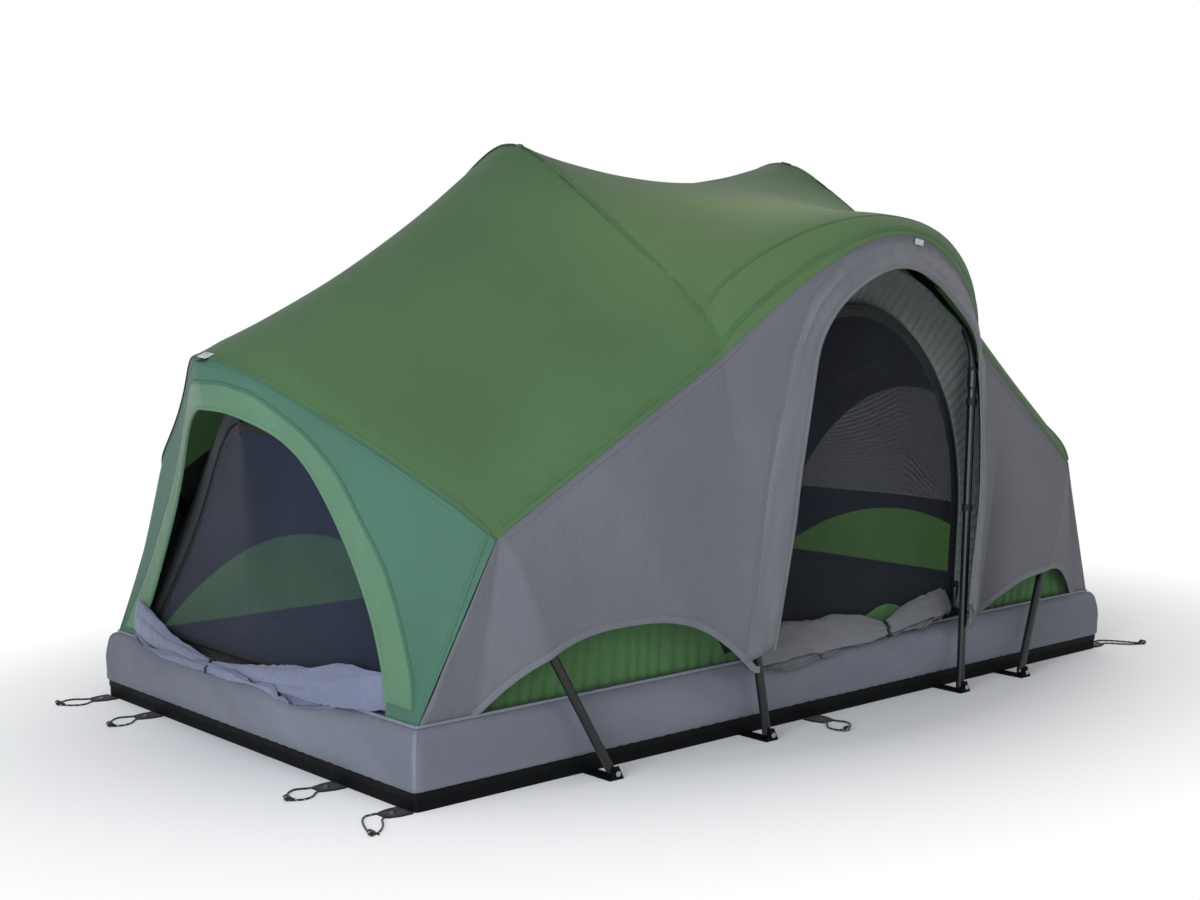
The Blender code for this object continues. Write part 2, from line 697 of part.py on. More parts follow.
def make_leg(hoop, sign, word):
    """A leg with its pin, placed with its origin on the pin's axis."""
    low, high = hoop.foot(sign), hoop.shoulder_point(sign)
    along = high - low
    length = along.length - JOINT_BELOW_SHOULDER + SOCKET_DEPTH
    name = f"{hoop.name}_leg_{word}"
    leg = turned(name, leg_profile(length), "tube")
    leg.matrix_world = Matrix.Translation(low) @ along.to_track_quat("Z", "Y").to_matrix().to_4x4()
    reach = TUBE_RADIUS + LUG_CLEARANCE + TAB_THICKNESS + PIN_SLACK
    profile = [(0.0, 0.0), (PIN_RADIUS, 0.0), (PIN_RADIUS, reach)]
    profile += [(PIN_HEAD_RADIUS, reach), (PIN_HEAD_RADIUS, reach + PIN_HEAD), (0.0, reach + PIN_HEAD)]
    pin = turned(name + "_pin", profile, "tube")
    PARTS.objects.unlink(pin)
    CUTTERS.objects.link(pin)
    pin.hide_render = True
    pin.display_type = "WIRE"
    outwards = Vector((0.0, sign, 0.0)).to_track_quat("Z", "X").to_matrix().to_4x4()
    pin.matrix_world = Matrix.Translation(low) @ outwards
    boolean(leg, pin, "UNION")


def bow_points(hoop):
    """Centre line of the bow: up from each leg's socket, round the elbow and over the peak."""
    halves = []
    for sign in (-1, 1):
        shoulder = hoop.shoulder_point(sign)
        down = (hoop.foot(sign) - shoulder).normalized()
        up = hoop.rafter(sign * 0.90) - shoulder
        reach = ELBOW_REACH
        points = [shoulder + down * (JOINT_BELOW_SHOULDER - SOCKET_GAP)]
        start, end = shoulder + down * reach, shoulder + up.normalized() * reach
        for step in range(6):
            share = step / 5
            points.append(start.lerp(shoulder, share).lerp(shoulder.lerp(end, share), share))
        halves.append(points)
    near, far = halves
    inner_steps = ROOF_STEPS[1:-3]
    middle = [hoop.rafter(-step) for step in reversed(inner_steps)] + [hoop.rafter(0.0)]
    middle += [hoop.rafter(step) for step in inner_steps]
    return near + middle + far[::-1]


def make_hoop(hoop):
    """Two legs and the bow that joins them."""
    make_leg(hoop, -1, "near")
    make_leg(hoop, 1, "far")
    tube_along(f"{hoop.name}_bow", bow_points(hoop), TUBE_RADIUS, "tube")


def make_fly():
    """Roof, two sides with a door and two lenses each, and two ends with a window each."""
    cloth_panel("fly_roof", [roof_rows()], CLOTH, "roof")
    outline = door_outline(DOOR_CENTRE, DOOR_LEAN, DOOR_HALF, DOOR_SPRING, DOOR_TOP, HEM_HEIGHT / 2,
                           flare=DOOR_FOOT_FLARE, flare_top=DOOR_FLARE_TOP)
    for word, sign in (("near", -1), ("far", 1)):
        side = cloth_panel(f"fly_side_{word}", [side_rows(sign)], CLOTH, "side")
        reach = (sign * (HALF_WIDTH - 0.11), sign * (HALF_WIDTH + 0.29))
        cutter = prism(f"door_cut_{word}", outline, *reach, "Y")
        boolean(side, cutter)
    window = window_outline(WINDOW_HALF, WINDOW_TOP, HEM_HEIGHT - 0.010)
    for word, sign in (("left", -1), ("right", 1)):
        end = cloth_panel(f"fly_end_{word}", [end_rows(sign)], CLOTH, "end")
        reach = (sign * (HALF_LENGTH - 0.215), sign * (HALF_LENGTH + 0.185))
        cutter = prism(f"window_cut_{word}", window, *reach, "X")
        boolean(end, cutter)


def end_rows(sign):
    """Rows of an end from the hem to the brim, left for -1 and right for 1."""
    hoop = LEFT_END if sign < 0 else RIGHT_END
    across = [-step for step in reversed(ROOF_STEPS)] + list(ROOF_STEPS[1:])
    columns = []
    for step in across:
        low = Vector((sign * HEM_X, HEM_Y * step, HEM_HEIGHT + HEM_LIFT))
        high = brim_point(hoop, step)
        drop = (low - high).normalized() * SEAM_DROP * 1.4
        tuck = Vector((-sign * SEAM_GAP, -SEAM_GAP * step, 0.0))
        column = []
        for share in (0, 0.14, 0.3, 0.46, 0.62, 0.8, 1):
            point = low.lerp(high + drop + tuck, share)
            point.x += sign * END_BULGE * 4 * share * (1 - share) * (1 - step ** 4)
            column.append(point)
        columns.append(column)
    return [list(row) for row in zip(*columns)]


def make_brow_rods():
    """Bowed rods in the sleeves over the doors, from hoop to hoop under the roof's edge."""
    for word, sign in (("near", -1), ("far", 1)):
        points = [rod_point(index, sign) for index in range(len(BROW_STATIONS))]
        tube_along(f"brow_rod_{word}", points, BROW_ROD_RADIUS, "tube", resolution=2)


def rod_point(index, sign):
    """Centre of the rod at one of the brow's stations, tucked under the roof's edge."""
    stations = (2.0, *BROW_STATIONS, 3.0)
    before, middle, after = stations[index:index + 3]
    edge = roof_point(middle, sign * ROOF_STEPS[-1])
    away = (roof_point(middle, sign * ROOF_STEPS[-2]) - edge).normalized()
    square = away.cross(roof_point(after, sign * 1.0) - roof_point(before, sign * 1.0)).normalized()
    if square.z > 0:
        square = -square
    slack = BROW_ROD_SLACK * (2.2 if index in (0, len(BROW_STATIONS) - 1) else 1.0)
    return edge + away * BROW_ROD_INSET + square * (BROW_ROD_RADIUS + CLOTH + slack)


def inner_eave(station, sign):
    """Eave of the inner tent at a roof station."""
    edge = roof_point(station, sign * 1.0)
    if 2 < station < 3:
        lift = peak_share(2 * (station - 2) - 1, BROW_ROUND)
        start, end = HOOPS[1].cloth_over(sign * 1.0), HOOPS[2].cloth_over(sign * 1.0)
        edge = start.lerp(end, station - 2) + Vector((0.0, 0.0, INNER_BROW_RISE * lift))
    return Vector((edge.x, edge.y - sign * INNER_SIDE, edge.z - INNER_DROP))


def inner_section(station):
    """Points round the inner tent at a station: near hem, near eave, ridge, far eave, far hem."""
    hem_y = HALF_WIDTH - INNER_HEM_INSET
    share = (station - 1) / 3
    hem_x = (HALF_LENGTH - INNER_HEM_INSET) * (2 * share - 1)
    ridge = roof_point(station, 0.0)
    ridge = Vector((ridge.x * 0.985, 0.0, ridge.z - INNER_DROP - 0.014))
    points = []
    for sign in (-1, 1):
        hem = Vector((hem_x, sign * hem_y, HEM_HEIGHT + HEM_LIFT))
        eave = inner_eave(station, sign)
        if station in (1, 4):
            eave.x -= (1 if station == 4 else -1) * INNER_END_TOP * 0.35
        wall = [hem.lerp(eave, step) for step in (0, 0.35, 0.7, 1)]
        roof = [eave.lerp(ridge, step) for step in (0.35, 0.7, 0.93)]
        half = wall + roof
        points = half + [ridge] if sign < 0 else points + half[::-1]
    return points


def inner_end(station):
    """Rows of the inner tent's end wall, from the hem to the gable."""
    section = inner_section(station)
    roof = section[3:-3]
    rows = []
    for level, share in enumerate((0, 0.35, 0.7, 1)):
        row = []
        for index, top in enumerate(roof):
            near, far = section[0], section[-1]
            low = near.lerp(far, index / (len(roof) - 1))
            row.append(low.lerp(top, share))
        row[0], row[-1] = section[level], section[-1 - level]
        rows.append(row)
    return rows


def inner_grids():
    """The inner tent's three grids: the vault and its two ends."""
    stations = [1, 1.5, 2, 2.16, 2.33, 2.5, 2.67, 2.84, 3, 3.5, 4]
    return [[inner_section(station) for station in stations], inner_end(1), inner_end(4)]


def make_inner_tent():
    """Inner tent with its mesh doors and windows cut from the same cloth."""
    grids = inner_grids()
    inner = cloth_panel("inner_tent", grids, INNER_CLOTH, "inner")
    for word, sign in (("near", -1), ("far", 1)):
        door = (INNER_DOOR_CENTRE, 0.0, INNER_DOOR_HALF, INNER_DOOR_SPRING, INNER_DOOR_TOP, INNER_DOOR_SILL)
        reach = (sign * (HALF_WIDTH - 0.26), sign * (HALF_WIDTH + 0.14))
        boolean(inner, prism(f"inner_door_cut_{word}", door_outline(*door), *reach, "Y"))
        leaf = cloth_panel(f"mesh_door_{word}", grids, INNER_CLOTH, "mesh")
        small = (*door[:5], INNER_DOOR_SILL + ZIP_WIDTH * 0.5, ZIP_WIDTH * 0.5)
        boolean(leaf, prism(f"mesh_door_leaf_{word}", door_outline(*small), *reach, "Y"), "INTERSECT")
    for word, sign in (("left", -1), ("right", 1)):
        reach = (sign * (HALF_LENGTH - 0.265), sign * (HALF_LENGTH + 0.135))
        outline = window_outline(INNER_WINDOW_HALF, INNER_WINDOW_TOP, INNER_WINDOW_SILL)
        boolean(inner, prism(f"inner_window_cut_{word}", outline, *reach, "X"))
        leaf = cloth_panel(f"mesh_window_{word}", grids, INNER_CLOTH, "mesh")
        outline = window_outline(INNER_WINDOW_HALF, INNER_WINDOW_TOP, INNER_WINDOW_SILL + ZIP_WIDTH * 0.5,
                                 ZIP_WIDTH * 0.5)
        boolean(leaf, prism(f"mesh_window_leaf_{word}", outline, *reach, "X"), "INTERSECT")


def roll(name, points, widths, look="flap"):
    """A rolled flap: an oval swept along its sill, drawn in where a tie holds it."""
    shape = bmesh.new()
    rows = []
    sides = 12
    for index, point in enumerate(points):
        before = points[max(index - 1, 0)]
        after = points[min(index + 1, len(points) - 1)]
        along = (after - before).normalized()
        across = along.cross(Vector((0.0, 0.0, 1.0))).normalized()
        wide, high = widths[index]
        ring = []
        for side in range(sides):
            angle = 2 * pi * side / sides
            ring.append(point + across * wide * cos(angle) + Vector((0.0, 0.0, high * sin(angle))))
        rows.append(ring + ring[:1])
    add_grid(shape, rows)
    bmesh.ops.remove_doubles(shape, verts=shape.verts, dist=0.00005)
    bmesh.ops.holes_fill(shape, edges=[edge for edge in shape.edges if edge.is_boundary])
    bmesh.ops.recalc_face_normals(shape, faces=shape.faces)
    add_part(name, mesh_from_bmesh(name, shape), look)


def bundle(table, share):
    """Half width and half height of a rolled flap at a share of its length."""
    before, after = table[0], table[-1]
    for left, right in zip(table, table[1:]):
        if left[0] <= share <= right[0]:
            before, after = left, right
    part = (share - before[0]) / (after[0] - before[0])
    return tuple(a + (b - a) * part for a, b in zip(before[1:], after[1:]))


def make_flaps():
    """The rolled door and window flaps, lying on the sills."""
    for word, sign in (("near", -1), ("far", 1)):
        points, widths = [], []
        start, end = DOOR_CENTRE - DOOR_HALF - 0.030, DOOR_CENTRE + DOOR_HALF - 0.020
        for step in range(13):
            share = step / 12
            wide, high = bundle(DOOR_ROLL, share)
            y = sign * (HEM_Y + 0.012)
            points.append(Vector((start + (end - start) * share, y, HEM_HEIGHT + SEAM_GAP + high)))
            widths.append((wide, high))
        roll(f"door_flap_{word}", points, widths)
    for word, sign in (("left", -1), ("right", 1)):
        points, widths = [], []
        reach = WINDOW_HALF - 0.070
        for step in range(13):
            share = step / 12
            wide, high = bundle(WINDOW_ROLL, share)
            base = HEM_HEIGHT + SEAM_GAP + high
            points.append(Vector((sign * (HEM_X + 0.006), reach * (2 * share - 1), base)))
            widths.append((wide, high))
        roll(f"window_flap_{word}", points, widths)


def slider_mesh(name):
    """A zip slider with its pull, lying against cloth that faces -Y."""
    width, depth, height = SLIDER_SIZE
    shape = bmesh.new()
    bmesh.ops.create_cube(shape, size=1.0, matrix=Matrix.Diagonal((width, depth, height, 1.0)))
    bmesh.ops.bevel(shape, geom=shape.edges, offset=0.0014, segments=2, affect="EDGES", profile=0.5)
    return mesh_from_bmesh(name, shape)


def make_slider(name, tree, start, heading, along):
    """A slider and its hanging pull, seated on a sheet where a line from outside meets it.

    Its origin is on the zip; along is the way that it runs.
    """
    point, normal = tree.ray_cast(start, heading)[:2]
    if normal.dot(heading) > 0:
        normal = -normal
    up = (along - along.dot(normal) * normal).normalized()
    axes = Matrix((up.cross(normal), -normal, up)).transposed().to_4x4()
    width, depth, height = SLIDER_SIZE
    part = add_part(name, slider_mesh(name), "slider")
    part.matrix_world = Matrix.Translation(point + normal * (depth / 2 + SLIDER_GAP)) @ axes
    low, high = -height / 2 - PULL_LENGTH + 0.008, -height / 2 + 0.006
    centre = (0.0, -depth / 2, (low + high) / 2)
    pull = add_cutter(name + "_pull", box_mesh(name + "_pull", centre, (width * 0.55, 0.0024, high - low)))
    pull.matrix_world = part.matrix_world
    boolean(part, pull, "UNION")


def make_sliders():
    """One slider on each door zip and one at the crown of each window zip."""
    shape = bmesh.new()
    for rows in inner_grids():
        add_grid(shape, rows)
    bmesh.ops.triangulate(shape, faces=shape.faces)
    tree = BVHTree.FromBMesh(shape)
    shape.free()
    for word, sign in (("near", -1), ("far", 1)):
        x = INNER_DOOR_CENTRE + INNER_DOOR_HALF + DOOR_SLIDER_EDGE
        outside = sign * (HALF_WIDTH + 0.39)
        starts = [Vector((x, outside, DOOR_SLIDER_HEIGHT + rise)) for rise in (0.0, DOOR_SLIDER_TRAVEL)]
        heading = Vector((0.0, -sign, 0.0))
        low, high = (tree.ray_cast(start, heading)[0] for start in starts)
        make_slider(f"door_slider_{word}", tree, starts[0], heading, high - low)
    for word, sign in (("left", -1), ("right", 1)):
        start = Vector((sign * (HALF_LENGTH + 0.435), 0.0, INNER_WINDOW_TOP + WINDOW_SLIDER_RISE))
        make_slider(f"window_slider_{word}", tree, start, Vector((-sign, 0.0, 0.0)), Vector((0.0, 0.0, 1.0)))


def tie_places():
    """Each tie-down's name, the middle of its hinge edge and the way it points."""
    edge_x, edge_y = HALF_LENGTH - TUB_INSET, HALF_WIDTH - TUB_INSET
    places = []
    for side, sx in (("left", -1), ("right", 1)):
        for word, sy in (("near", -1), ("far", 1)):
            places.append((f"{side}_{word}_corner", (sx * edge_x, sy * CORNER_TIE_Y), (sx, 0.0)))
            places.append((f"{side}_{word}_end", (sx * edge_x, sy * END_TIE_Y), (sx, 0.0)))
    places.append(("middle_near", (MIDDLE_TIE_X, -edge_y), (0.0, -1.0)))
    places.append(("middle_far", (MIDDLE_TIE_X, edge_y), (0.0, 1.0)))
    return places


def make_tie(name, place, heading):
    """A tie-down plate with its rivet, and the loop of shock cord from one corner to the other."""
    turn = atan2(heading[1], heading[0])
    frame = Matrix.Translation((place[0], place[1], 0.0)) @ Matrix.Rotation(turn, 4, "Z")
    root, tip = TIE_GAP + TIE_THICKNESS / 2, TIE_LENGTH
    outline = [(root, -TIE_WIDTH / 2), (tip * 0.5, -TIE_WIDTH / 2), (tip, -TIE_TIP_WIDTH / 2)]
    outline += [(tip, TIE_TIP_WIDTH / 2), (tip * 0.5, TIE_WIDTH / 2), (root, TIE_WIDTH / 2)]
    shape = bmesh.new()
    face = shape.faces.new([shape.verts.new((x, y, 0.0)) for x, y in outline])
    pushed = bmesh.ops.extrude_face_region(shape, geom=[face])
    corners = [item for item in pushed["geom"] if isinstance(item, bmesh.types.BMVert)]
    bmesh.ops.translate(shape, verts=corners, vec=(0.0, 0.0, TIE_THICKNESS))
    bmesh.ops.recalc_face_normals(shape, faces=shape.faces)
    plate = add_part(f"tie_plate_{name}", mesh_from_bmesh(name, shape), "plate")
    plate.matrix_world = frame
    barrel_name = f"tie_barrel_{name}"
    ends = [(root, side * TIE_WIDTH / 2, TIE_THICKNESS / 2) for side in (-1, 1)]
    barrel = add_cutter(barrel_name, cylinder_mesh(barrel_name, *ends, TIE_THICKNESS / 2))
    barrel.matrix_world = frame
    boolean(plate, barrel, "UNION")
    rivet_name = f"tie_rivet_{name}"
    start, end = (tip * 0.58, 0.0, 0.001), (tip * 0.58, 0.0, TIE_THICKNESS + 0.0016)
    rivet = add_cutter(rivet_name, cylinder_mesh(rivet_name, start, end, TIE_RIVET_RADIUS))
    rivet.matrix_world = frame
    boolean(plate, rivet, "UNION")
    points = [frame @ point for point in loop_points(TIE_LEANS.get(name, 0.0))]
    tube_along(f"tie_loop_{name}", points, CORD_RADIUS, "cord", resolution=2)


def loop_points(lean):
    """Route of the shock cord in a tie-down's own frame, x outwards, lying on the ground.

    The lean is how far its tip lies to one side.
    """
    start_y = TIE_TIP_WIDTH / 2 - CORD_RADIUS - 0.0005
    half, reach = LOOP_HALF, LOOP_REACH
    route = [(0.0, start_y), (0.004, start_y), (0.013, start_y + 0.005), (0.026, half - 0.002)]
    route += [(0.041, half - 0.001), (0.055, half - 0.008), (reach - 0.006, half - 0.021), (reach, 0.0)]
    route += [(x, -y) for x, y in reversed(route[:-1])]
    points = []
    for x, y in route:
        aside = lean * (max(x - 0.006, 0.0) / reach) ** 1.3
        points.append(Vector((TIE_LENGTH + SEAM_GAP + x, y + aside, CORD_RADIUS + SEAM_GAP)))
    return points


def smooth_round_pieces():
    """Shade the turned and bent pieces smooth, with their ends sharp."""
    for part in PARTS.objects:
        if part.type == "MESH" and ("leg" in part.name or "bow" in part.name or "loop" in part.name):
            part.data.shade_smooth()
            part.data.set_sharp_from_angle(angle=0.6)


def build():
    """Model the whole tent."""
    make_base()
    for hoop in HOOPS:
        make_hoop(hoop)
    make_fly()
    make_brow_rods()
    make_inner_tent()
    make_flaps()
    make_sliders()
    for name, place, heading in tie_places():
        make_tie(name, place, heading)
    smooth_round_pieces()


clear_scene()
PARTS = make_collection("truck_bed_tent")
CUTTERS = make_collection("cutters")
build()
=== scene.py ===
"""Truck bed tent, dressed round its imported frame.

Each operator makes one piece or a group of like pieces. All of them stand in the frame's own place:
metres, +Z up, +X along the tent, the near door faces -Y, and the origin is the bottom centre of the base.
"""

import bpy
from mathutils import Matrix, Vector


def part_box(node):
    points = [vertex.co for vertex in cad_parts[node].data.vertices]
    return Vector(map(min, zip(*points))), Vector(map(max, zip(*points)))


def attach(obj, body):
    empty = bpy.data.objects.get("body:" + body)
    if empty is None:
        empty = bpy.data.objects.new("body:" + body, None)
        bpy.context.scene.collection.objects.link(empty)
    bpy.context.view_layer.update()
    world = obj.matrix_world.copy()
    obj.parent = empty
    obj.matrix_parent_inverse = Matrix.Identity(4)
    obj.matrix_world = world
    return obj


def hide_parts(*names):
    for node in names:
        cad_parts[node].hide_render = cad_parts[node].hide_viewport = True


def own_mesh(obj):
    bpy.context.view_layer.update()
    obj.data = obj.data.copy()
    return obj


bl_info = {
    "name": "Truck bed tent",
    "version": (1, 0, 0),
    "blender": (4, 5, 0),
    "location": "3D View > Sidebar > Tent",
    "description": "Dresses a truck bed tent: cloth, mesh, zips, webbing, shock cord and hoops",
    "category": "Add Mesh",
}

from math import atan2, cos, exp, pi, radians, sin, sqrt, tau

import bmesh
import bpy
from bpy.props import FloatProperty, FloatVectorProperty, PointerProperty
from mathutils import Matrix, Vector, noise
from mathutils.bvhtree import BVHTree

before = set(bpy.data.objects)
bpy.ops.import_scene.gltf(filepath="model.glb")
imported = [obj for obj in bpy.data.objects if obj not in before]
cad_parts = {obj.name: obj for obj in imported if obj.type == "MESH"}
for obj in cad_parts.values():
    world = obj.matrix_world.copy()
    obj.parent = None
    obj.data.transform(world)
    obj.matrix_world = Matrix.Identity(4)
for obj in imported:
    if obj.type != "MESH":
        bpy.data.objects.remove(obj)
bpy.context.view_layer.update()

# Sizes that the part's source gives
HALF_LENGTH, HALF_WIDTH = 1.065, 0.61
BASE_CORNER, TUB_INSET, TUB_HEIGHT = 0.022, 0.009, 0.035
HEM_HEIGHT, HEM_INSET, FLANGE_INSET = 0.146, 0.029, 0.056
HEM_X, HEM_Y = HALF_LENGTH - HEM_INSET, HALF_WIDTH - HEM_INSET
CLOTH, SEAM_GAP, SEAM_DROP, HEM_LIFT = 0.0015, 0.0003, 0.0034, 0.0009
FOOT_Y, PIVOT_HEIGHT = 0.664, 0.013
HOOP_OFFSET = 0.0136
BRIM_REACH, BRIM_DROP, BRIM_ROUND, RIDGE_ROUND = 0.072, 0.03, 0.3, 0.15
END_FULLNESS, MAIN_FULLNESS = 0.09, 0.105
BAY_SAG, RIDGE_SAG = 0.031, 0.073
BROW_REACH, BROW_RISE, BROW_ROLL, BROW_ROUND = 0.11, 0.24, 0.085, 0.9
BROW_STATIONS = (2.07, 2.16, 2.27, 2.39, 2.5, 2.61, 2.73, 2.84, 2.93)
LEFT_LENS, RIGHT_LENS = (-0.905, -0.27, 0.136), (0.59, 0.965, 0.09)
END_BULGE, LEG_BULGE, CORNER_SEAM = 0.002, 0.013, 0.0036
DOOR_LEFT, DOOR_FOOT_FLARE, DOOR_FLARE_TOP = -0.203, 0.08, 0.215
# Edge of the doorway and outer seam of its arch, as (x, z) from the left foot to the right one
DOOR_EDGE = ((-0.226, 0.19), (-0.217, 0.249), (-0.205, 0.318), (-0.195, 0.381), (-0.185, 0.444),
             (-0.178, 0.514), (-0.17, 0.584), (-0.162, 0.654), (-0.153, 0.73), (-0.145, 0.79),
             (-0.131, 0.834), (-0.101, 0.882), (-0.059, 0.92), (-0.01, 0.948), (0.036, 0.962), (0.089, 0.965),
             (0.15, 0.953), (0.223, 0.922), (0.292, 0.884), (0.37, 0.843), (0.435, 0.795), (0.466, 0.731),
             (0.466, 0.638), (0.461, 0.529), (0.455, 0.451), (0.441, 0.375), (0.429, 0.297), (0.424, 0.25),
             (0.42, 0.19))
ARCH_EDGE = ((-0.29, 0.155), (-0.287, 0.24), (-0.275, 0.368), (-0.264, 0.451), (-0.251, 0.547),
             (-0.232, 0.636), (-0.214, 0.725), (-0.197, 0.807), (-0.162, 0.895), (-0.133, 0.929),
             (-0.095, 0.97), (-0.04, 1.005), (0.02, 1.025), (0.089, 1.03), (0.16, 1.018), (0.24, 0.985),
             (0.32, 0.938), (0.4, 0.888), (0.462, 0.845), (0.495, 0.78), (0.5, 0.7), (0.49, 0.62),
             (0.483, 0.53), (0.477, 0.45), (0.462, 0.375), (0.45, 0.297), (0.445, 0.25), (0.438, 0.155))
GUSSET_EDGE = ((-0.263, 0.24), (-0.263, 0.33), (-0.263, 0.45), (-0.245, 0.6), (-0.19, 0.76), (-0.09, 0.88),
               (0.03, 0.945), (0.14, 0.965), (0.24, 0.955), (0.33, 0.92), (0.39, 0.88), (0.45, 0.84),
               (0.49, 0.795), (0.515, 0.72), (0.53, 0.63), (0.534, 0.45), (0.525, 0.3), (0.515, 0.165))
# Edge of the window and outer seam of its band, as (y, z) from the middle to the foot
BAND_EDGE = ((0.0, 0.742), (0.048, 0.742), (0.091, 0.733), (0.128, 0.719), (0.186, 0.682), (0.246, 0.637),
             (0.309, 0.574), (0.368, 0.495), (0.424, 0.424), (0.463, 0.359), (0.503, 0.283), (0.535, 0.225),
             (0.56, 0.16))
WINDOW_EDGE = ((0.0, 0.691), (0.035, 0.69), (0.072, 0.684), (0.14, 0.66), (0.19, 0.632), (0.236, 0.59),
               (0.28, 0.532), (0.316, 0.48), (0.366, 0.404), (0.41, 0.328), (0.442, 0.262), (0.468, 0.202),
               (0.486, 0.136))
MESH_DOOR_CENTRE, MESH_DOOR_HALF, MESH_DOOR_SPRING = 0.112, 0.39, 0.36
MESH_DOOR_TOP, MESH_DOOR_SILL = 0.872, 0.174
MESH_WINDOW_HALF, MESH_WINDOW_TOP, MESH_WINDOW_SILL = 0.47, 0.655, 0.165
INNER_HEM_INSET, INNER_DROP, INNER_SIDE, INNER_CLOTH = 0.048, 0.05, 0.062, 0.0012
INNER_BROW_RISE, INNER_END_TUCK = 0.14, 0.0245
TIE_LENGTH, TIE_WIDTH, TIE_TIP_WIDTH, TIE_THICKNESS = 0.054, 0.052, 0.034, 0.0026
CORD_RADIUS, LOOP_REACH, LOOP_HALF = 0.002, 0.074, 0.031
TIE_LEANS = {"left_near_corner": 0.09, "left_near_end": 0.026, "left_far_end": 0.034,
             "left_far_corner": -0.008, "middle_near": -0.034, "right_near_corner": -0.09,
             "right_far_end": -0.016, "middle_far": 0.014, "right_far_corner": 0.022}
# Rolled flaps, row by row: share from the left or near end, height of the lower and of the upper edge above
# the hem, how far out of the hem's line these edges lie, half thickness, and the turn at which the cloth ends
DOOR_ROLL = ((0.0, -0.012, 0.026, 0.042, 0.034, 0.011, 0.8), (0.06, -0.012, 0.04, 0.043, 0.016, 0.011, 0.78),
             (0.2, -0.011, 0.068, 0.042, 0.0, 0.011, 0.72), (0.4, -0.011, 0.066, 0.04, -0.002, 0.011, 0.66),
             (0.56, -0.008, 0.052, 0.036, 0.002, 0.01, 0.62), (0.65, 0.001, 0.03, 0.026, 0.014, 0.011, 0.6),
             (0.7, 0.003, 0.046, 0.028, 0.012, 0.012, 0.7), (0.8, 0.008, 0.064, 0.029, 0.006, 0.0135, 0.78),
             (0.92, 0.013, 0.073, 0.026, -0.002, 0.0135, 0.7), (1.0, 0.018, 0.076, 0.016, -0.01, 0.011, 0.6))
WINDOW_ROLL = ((0.0, 0.006, 0.086, -0.014, -0.026, 0.0035, 0.62),
               (0.032, 0.002, 0.088, -0.008, -0.021, 0.0045, 0.6),
               (0.07, -0.002, 0.087, 0.01, -0.006, 0.008, 0.58),
               (0.13, -0.006, 0.08, 0.024, 0.002, 0.0115, 0.58),
               (0.2, -0.01, 0.072, 0.03, 0.006, 0.013, 0.66), (0.36, -0.011, 0.048, 0.031, 0.01, 0.013, 0.9),
               (0.52, -0.011, 0.022, 0.029, 0.012, 0.011, 1.02),
               (0.63, -0.01, 0.012, 0.026, 0.012, 0.009, 1.04),
               (0.7, -0.011, 0.02, 0.028, 0.012, 0.011, 0.98), (0.82, -0.01, 0.04, 0.027, 0.008, 0.012, 0.9),
               (0.92, -0.006, 0.07, 0.018, 0.0, 0.011, 0.86), (1.0, 0.004, 0.09, 0.004, -0.008, 0.008, 0.84))
# Height of the base's shoulder under a flap, by the distance in from the hem's line
SHOULDER = ((-0.027, 0.12), (-0.023, 0.129), (-0.018, 0.136), (-0.012, 0.1415), (-0.006, 0.145),
            (0.004, 0.146))
# Values that several pieces share
INSIDE, BASE_INSIDE, UP = Vector((0, 0, 0.3)), Vector((0, 0, 0.05)), Vector((0, 0, 1.0))
SMOOTH_ANGLE, LEAF_GAP, WALL_FOOT, GATHER_PITCH = 0.7, 0.0006, 0.1485, 0.034
RING_STEPS, BAND_STEPS, GUSSET_STEPS = 7, 130, 300
TOOTH_SIZE = (0.002, 0.0034, 0.0016, 1.0)
# Green of sunlit cloth, for the linings that glow with painted light.
SUNNY = "4f7a33"
CAMERA_PLACE, CAMERA_TURN = (-2.8305, -3.1336, 0.951), (41.131, -5.645, 0.144)
FERRULE_DOWN = 0.049
# Profiles as (radius, height)
PIN_HEAD = ((0.0004, 0.0188), (0.0056, 0.0188), (0.006, 0.0196), (0.0056, 0.0208), (0.0036, 0.0218),
            (0.0004, 0.022))
FERRULE_LIP = ((0.0117, -0.006), (0.0124, -0.0052), (0.0126, 0.0), (0.0124, 0.0012), (0.0117, 0.0018))
CLIP = ((0.0098, -0.008), (0.0118, -0.0075), (0.0122, 0.0), (0.0118, 0.0075), (0.0098, 0.008))
TUB_BINDING = ((-0.0004, -0.0085), (0.0013, -0.008), (0.0017, 0.0), (0.0013, 0.0062), (-0.0004, 0.0066))
# Bridge and cord tail of a slider
BRIDGE = ((0.0055, 0, 0.007), (0.004, 0, 0.0098), (-0.004, 0, 0.0098), (-0.0055, 0, 0.007))
TAIL = ((-0.025, 0, 0.0088), (-0.03, 0.001, 0.0075), (-0.036, -0.001, 0.006), (-0.043, 0, 0.0048))
LAMP_AIM = Vector((0, 0, 0.4))
# Lamps: name, place, size, power and colour
LAMPS = (("key", (-4.0, -2.2, 1.2), 2.2, 100.0, (0.9, 0.96, 1.1)),
         ("front", (-0.6, -4.8, 2.6), 3.0, 30.0, (1, 1, 1)), ("top", (0.2, 0.2, 5.2), 3.6, 24.0, (1, 1, 1)),
         ("rim", (4.0, 2.6, 2.6), 2.6, 22.0, (1, 1, 1)))
SIDES = (("near", -1), ("far", 1))
ENDS = (("left", -1), ("right", 1))
FINISHES = {}
TREES = {}


def linear(code):
    """A colour code as linear values."""
    parts = [int(code[i:i + 2], 16) / 255 for i in (0, 2, 4)]
    return tuple(p / 12.92 if p <= 0.04045 else ((p + 0.055) / 1.055) ** 2.4 for p in parts)


def metres(name, description, default, low, high):
    """A size that the user may change."""
    return FloatProperty(name=name, description=description, default=default, min=low, max=high,
                         unit="LENGTH")


def tint(name, description, code):
    """A colour that the user may change."""
    return FloatVectorProperty(name=name, description=description, subtype="COLOR", size=3, min=0, max=1,
                               default=linear(code))


